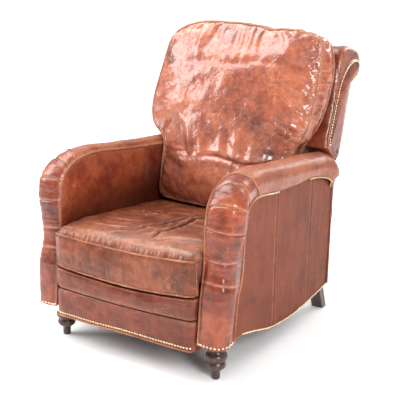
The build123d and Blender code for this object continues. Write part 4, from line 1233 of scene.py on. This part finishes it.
def pillow_rings(m=420):
    """Front centre to rear centre: front panel, boxing band and rear panel."""
    out = pillow_outline(m)
    y0 = pillow_seam_y(out)
    rings = []
    for r in np.r_[np.linspace(0.03, 0.90, 44), np.linspace(0.915, 0.995, 14)]:
        xz = PILLOW_MID + (out - PILLOW_MID) * r
        base = table(PILLOW_FRONT, xz[:, 1]) + 0.012
        seam = y0 - (table(PILLOW_FRONT, out[:, 1]) + 0.012)
        bulge = 0.034 * (1 - r ** 3.0) + 0.010 * math.sqrt(1 - np.clip((r - 0.86) / 0.14, 0, 1) ** 2)
        rings.append(np.column_stack([xz[:, 0], base + seam * r ** 2 - bulge, xz[:, 1]]))
    side = np.clip((out[:, 1] - 0.70) / 0.10, 0, 1)
    over = np.clip((out[:, 1] - 1.06) / 0.04, 0, 1)
    corner = smooth_step((out[:, 1] - 0.97) / 0.10)
    outwards = 0.010 * side * (1 - corner) - 0.010 * corner * smooth_step((np.abs(out[:, 0]) - 0.20) / 0.10)
    rear_x = np.clip(out[:, 0] + np.sign(out[:, 0]) * outwards, -0.368, 0.374)
    rear_z = out[:, 1] - 0.014 * over - 0.016 * corner + 0.008 * (1 - side) * (out[:, 1] < 0.5)
    y1 = np.minimum(y0 + 0.105, table(PILLOW_BACK, rear_z) - 0.010)
    for f in np.r_[0, 0.02, np.linspace(0.06, 0.94, 18), 0.98, 1.0]:
        xz = np.column_stack([out[:, 0] + (rear_x - out[:, 0]) * f, out[:, 1] + (rear_z - out[:, 1]) * f])
        away = xz - PILLOW_MID
        away /= np.linalg.norm(away, axis=1)[:, None]
        swell = 0.0080 * math.sin(math.pi * f) ** 0.8 if 0 < f < 1 else 0.0
        narrow = np.clip((xz[:, 1] - 0.62) / 0.10, 0.10, 1)[:, None]
        xz = xz + away * swell * narrow
        rings.append(np.column_stack([xz[:, 0], y0 + (y1 - y0) * f, xz[:, 1]]))
    rear = np.column_stack([rear_x, rear_z])
    for r in np.r_[np.linspace(0.985, 0.90, 6), np.linspace(0.80, 0.05, 12)]:
        xz = PILLOW_MID + (rear - PILLOW_MID) * r
        blend = np.clip((1 - r) / 0.12, 0, 1)
        rings.append(np.column_stack([xz[:, 0], y1 * (1 - blend) + table(PILLOW_BACK, xz[:, 1]) * blend, xz[:, 1]]))
    return np.array(rings)


FRONT_RINGS = 58
BAND_RINGS = 21
pillow_mesh = pillow_rings()
PILLOW_M = pillow_mesh.shape[1]
front_seam = pillow_mesh[FRONT_RINGS]
rear_seam = pillow_mesh[FRONT_RINGS + BAND_RINGS]


def nearest(points, line, chunk=4000):
    """Distance of each point to a closed line of points, and which of them is nearest."""
    dist = np.empty(len(points))
    index = np.empty(len(points), int)
    for a in range(0, len(points), chunk):
        d = np.linalg.norm(points[a : a + chunk, None] - line[None], axis=-1)
        index[a : a + chunk] = d.argmin(1)
        dist[a : a + chunk] = d.min(1)
    return dist, index


def inflate(ob, seams, free, voxel=0.006, pressure=4.0, grow=0.035, cap=0.024, frames=20):
    """Puffs a leather shell by cloth pressure while its sewn seams hold, and leaves the result in the mesh."""
    scene = bpy.context.scene
    mod = ob.modifiers.new("even", "REMESH")
    mod.mode = "VOXEL"
    mod.voxel_size = voxel
    mod.use_smooth_shade = True
    deps = bpy.context.evaluated_depsgraph_get()
    even = bpy.data.meshes.new_from_object(ob.evaluated_get(deps))
    ob.modifiers.clear()
    old, ob.data = ob.data, even
    even.materials.clear()
    even.materials.append(old.materials[0])
    start, _ = co_no(ob)
    dist = np.min([nearest(start, seam)[0] for seam in seams], axis=0)
    hold = np.clip(1 - (dist - 0.004) / 0.010, 0, 1)
    hold = np.maximum(hold, 1 - free(start))
    group = ob.vertex_groups.new(name="held")
    for i, w in enumerate(hold):
        if w > 0.01:
            group.add([i], float(w), "REPLACE")
    cloth = ob.modifiers.new("puff", "CLOTH")
    st = cloth.settings
    st.quality = 6
    st.mass = 0.4
    st.tension_stiffness = st.compression_stiffness = 30
    st.shear_stiffness = 15
    st.bending_stiffness = 1.5
    st.use_pressure = True
    st.uniform_pressure_force = pressure
    st.shrink_min = -grow
    st.vertex_group_mass = "held"
    st.pin_stiffness = 1.0
    st.effector_weights.gravity = 0
    cloth.collision_settings.use_self_collision = False
    cloth.point_cache.frame_end = frames + 1
    scene.frame_start, scene.frame_end = 1, frames + 1
    for n in range(1, frames + 1):
        scene.frame_set(n)
    deps = bpy.context.evaluated_depsgraph_get()
    done = bpy.data.meshes.new_from_object(ob.evaluated_get(deps))
    ob.modifiers.clear()
    co = np.zeros(len(done.vertices) * 3)
    done.vertices.foreach_get("co", co)
    move = co.reshape(-1, 3) - start
    far = np.linalg.norm(move, axis=1)[:, None] + 1e-9
    move *= cap * np.tanh(far / cap) / far
    ob.data.vertices.foreach_set("co", (start + move).ravel())
    ob.data.update()
    scene.frame_set(1)
    ob.vertex_groups.clear()
    return ob


def subdivide(ob):
    """One level of smooth subdivision, applied."""
    mod = ob.modifiers.new("fine", "SUBSURF")
    mod.levels = mod.render_levels = 1
    deps = bpy.context.evaluated_depsgraph_get()
    fine = bpy.data.meshes.new_from_object(ob.evaluated_get(deps))
    ob.modifiers.clear()
    ob.data = fine
    fine.polygons.foreach_set("use_smooth", [True] * len(fine.polygons))
    return ob


def pillow_free(p):
    """Where the pillow may swell: not at its rear, which rests on the back."""
    return smooth_step((table(PILLOW_BACK, p[:, 2]) - 0.012 - p[:, 1]) / 0.02)


pillow = loft("back_pillow_leather", pillow_mesh, MATS["leather_back"], "back", flip=True)
inflate(pillow, (front_seam, rear_seam), pillow_free)
subdivide(pillow)
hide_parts("back_cushion")


TUCK = [(-0.30, 0.610), (-0.10, 0.618), (0.00, 0.624), (0.06, 0.616), (0.12, 0.602), (0.20, 0.610), (0.30, 0.622)]


def pillow_detail(ob):
    """A tuck across the lower part with folds above and below it, gathers at the top and small puckers at the welts."""
    co, no = co_no(ob)
    x, y, z = co.T
    out = pillow_outline(420)
    dist, _ = nearest(np.column_stack([x, z]), out)
    yf = table(PILLOW_FRONT, z) + 0.012
    front = smooth_step((yf + 0.002 - y) / 0.010)
    band = (1 - front) * np.clip((yf + 0.105 - y) / 0.01, 0, 1)
    off_seam = smooth_step(dist / 0.012)
    q = np.stack([x, 0 * x, z], -1)
    rise = z - table(TUCK, x) - 0.006 * noise(q, (0.08, 1, 1), 221)
    across = smooth_step((x + 0.09) / 0.09) * smooth_step((0.29 - x) / 0.06)
    tuck = (-bell(rise, 0.0075) + 0.75 * bell(rise + 0.017, 0.013) + 0.55 * bell(rise - 0.018, 0.015)) * across
    fan = np.stack([(x - 0.04) / (1 + 1.3 * np.clip(rise, 0, 1)), 0 * x, z], -1)
    above = np.clip(rise / 0.012, 0, 1) * smooth_step((0.19 - rise) / 0.17) * smooth_step((x + 0.24) / 0.10)
    folds = (ridge(fan, (0.070, 1, 0.60), 223, 2.0) - 0.50) * above
    below = np.clip(-rise / 0.008, 0, 1) * smooth_step((0.085 + rise) / 0.07)
    short = (ridge(q, (0.029, 1, 0.30), 227, 2.5) - 0.45) * below * across
    top = smooth_step((z - 0.97) / 0.10)
    gather = (ridge(q, (0.115, 1, 0.50), 203, 1.8) - 0.50) * top
    low = (ridge(q, (0.05, 1, 0.10), 204, 3.0) - 0.4) * np.clip((0.54 - z) / 0.08, 0, 1)
    fall = fbm(q, (0.16, 1, 0.13), 205, 3)
    line = z - (0.985 + 0.012 * noise(q, (0.12, 1, 1), 207))
    cross = -bell(line, 0.013) + 0.60 * bell(line - 0.030, 0.022) + 0.45 * bell(line + 0.032, 0.026)
    cross = cross * np.clip((0.28 - np.abs(x)) / 0.12, 0, 1)
    amount = front * off_seam * (0.0070 * tuck + 0.0160 * folds + 0.0060 * short + 0.0150 * gather + 0.0035 * low
                                 + 0.0055 * fall + 0.0024 * cross)
    pucker = fbm(q, (0.018, 1, 0.018), 209, 2) * bell(dist - 0.016, 0.014)
    side_pleat = (ridge(q, (0.20, 1, 0.020), 229, 3.0) - 0.4) * bell(dist - 0.018, 0.020) * smooth_step((x - 0.20) / 0.06)
    amount = amount + front * (0.0016 * pucker + 0.0040 * side_pleat)
    ripple = 0.0016 * fbm(q, (0.022, 1, 0.022), 209, 2) + 0.0022 * (ridge(q, (0.06, 1, 0.06), 211, 4.0) - 0.3)
    amount = amount + band * ripple
    push(ob, amount)
    rubbed = 0.30 * front * np.clip(folds + gather, 0, 1) + 0.25 * front * np.clip(tuck, 0, 1)
    paint(ob, 0.35 * bell(dist, 0.006) * (y < yf + 0.02) + 0.10 * front + rubbed)
    # Painted shade along the bottom of the tuck
    paint(ob, 0.55 * front * bell(rise, 0.005) * across, "darkening_and_painted_shade")
    return ob


pillow_detail(pillow)


def snap(line, ob, lift):
    """Lays a line of points on a mesh, a little proud of it."""
    tree = BVHTree.FromObject(ob, bpy.context.evaluated_depsgraph_get())
    out = []
    for pt in line:
        place, normal, _, _ = tree.find_nearest(Vector(pt))
        out.append(place + normal * lift)
    out = np.array([tuple(v) for v in out])
    for _ in range(2):
        out = (np.roll(out, 1, 0) + 2 * out + np.roll(out, -1, 0)) / 4
    return out


piping("pillow_piping", [snap(front_seam[::3], pillow, 0.0016), snap(rear_seam[::3], pillow, 0.0016)], 0.0044, "back",
       closed=True)


# ------------------------------------------------------------------ camera, lights, floor
CAM_AZ, CAM_EL, CAM_ROLL = (math.radians(a) for a in (32.42, 13.57, 0.83))
back_dir = Vector((math.sin(CAM_AZ) * math.cos(CAM_EL), -math.cos(CAM_AZ) * math.cos(CAM_EL), math.sin(CAM_EL)))
right_dir = Vector((math.cos(CAM_AZ), math.sin(CAM_AZ), 0))
up_dir = back_dir.cross(right_dir)
right2 = right_dir * math.cos(CAM_ROLL) + up_dir * math.sin(CAM_ROLL)
up2 = up_dir * math.cos(CAM_ROLL) - right_dir * math.sin(CAM_ROLL)
cam_data = bpy.data.cameras.new("camera")
cam = bpy.data.objects.new("camera", cam_data)
bpy.context.scene.collection.objects.link(cam)
cam_data.lens = 71.53
cam_data.sensor_width = 36.0
cam_data.shift_x = 0.0097
cam_data.shift_y = -0.0125
cam.matrix_world = Matrix((
    (right2.x, up2.x, back_dir.x, 1.5461),
    (right2.y, up2.y, back_dir.y, -2.5066),
    (right2.z, up2.z, back_dir.z, 1.1962),
    (0, 0, 0, 1),
))
bpy.context.scene.camera = cam


def area(name, place, target, size, power, color=(1, 1, 1)):
    """Square soft light that faces a point."""
    data = bpy.data.lights.new(name, "AREA")
    data.shape = "RECTANGLE"
    data.size, data.size_y = size
    data.energy = power
    data.color = color
    ob = bpy.data.objects.new(name, data)
    bpy.context.scene.collection.objects.link(ob)
    ob.location = place
    ob.rotation_euler = (Vector(target) - Vector(place)).to_track_quat("-Z", "Y").to_euler()
    return ob


area("left_window", (-2.7, -1.7, 2.1), (0, 0, 0.7), (1.6, 2.2), 96)
area("top_softbox", (-1.0, -0.3, 2.9), (0, 0, 0.6), (2.2, 1.5), 66)
area("right_front", (2.9, -2.1, 1.8), (0, 0, 0.6), (0.9, 1.5), 104)
area("rear_rim", (1.1, 2.4, 2.0), (0, 0.2, 0.8), (2.0, 1.0), 34)
sky_data = bpy.data.lights.new("soft_sky", "SUN")
sky_data.energy = 1.7
sky_data.angle = math.radians(110)
sky = bpy.data.objects.new("soft_sky", sky_data)
bpy.context.scene.collection.objects.link(sky)
sky.rotation_euler = (math.radians(-8), math.radians(-10), 0)

world = bpy.data.worlds.new("studio")
world.use_nodes = True
wn = world.node_tree.nodes
wl = world.node_tree.links
wn["Background"].inputs["Color"].default_value = (1, 1, 1, 1)
wn["Background"].inputs["Strength"].default_value = 0.34
seen = wn.new("ShaderNodeBackground")
seen.inputs["Color"].default_value = (1, 1, 1, 1)
seen.inputs["Strength"].default_value = 1.05
pick_world = wn.new("ShaderNodeMixShader")
wl.new(wn.new("ShaderNodeLightPath").outputs["Is Camera Ray"], pick_world.inputs["Fac"])
wl.new(wn["Background"].outputs[0], pick_world.inputs[1])
wl.new(seen.outputs[0], pick_world.inputs[2])
wl.new(pick_world.outputs[0], wn["World Output"].inputs["Surface"])
bpy.context.scene.world = world
bpy.context.scene.view_settings.view_transform = "Standard"

floor_mesh = bpy.data.meshes.new("floor")
floor_mesh.from_pydata([(-9, -9, 0), (9, -9, 0), (9, 14, 0), (-9, 14, 0)], [], [(0, 1, 2, 3)])
floor = bpy.data.objects.new("floor", floor_mesh)
bpy.context.scene.collection.objects.link(floor)
ft = Tree("floor_paper")
paper = ft.ramp(ft.noise(1.2), [(0.3, (0.975, 0.975, 0.975)), (0.7, (0.985, 0.985, 0.985))])
far = ft.nodes.new("ShaderNodeVectorMath")
far.operation = "LENGTH"
ft.links.new(ft.coord, far.inputs[0])
glow = ft.span(far.outputs["Value"], 1.0, 3.0, 0.0, 0.5)
floor_mesh.materials.append(ft.set(Base_Color=paper, Roughness=0.9, Specular_IOR_Level=0.1, Emission_Strength=glow,
                                   Emission_Color=(1, 1, 1, 1)))
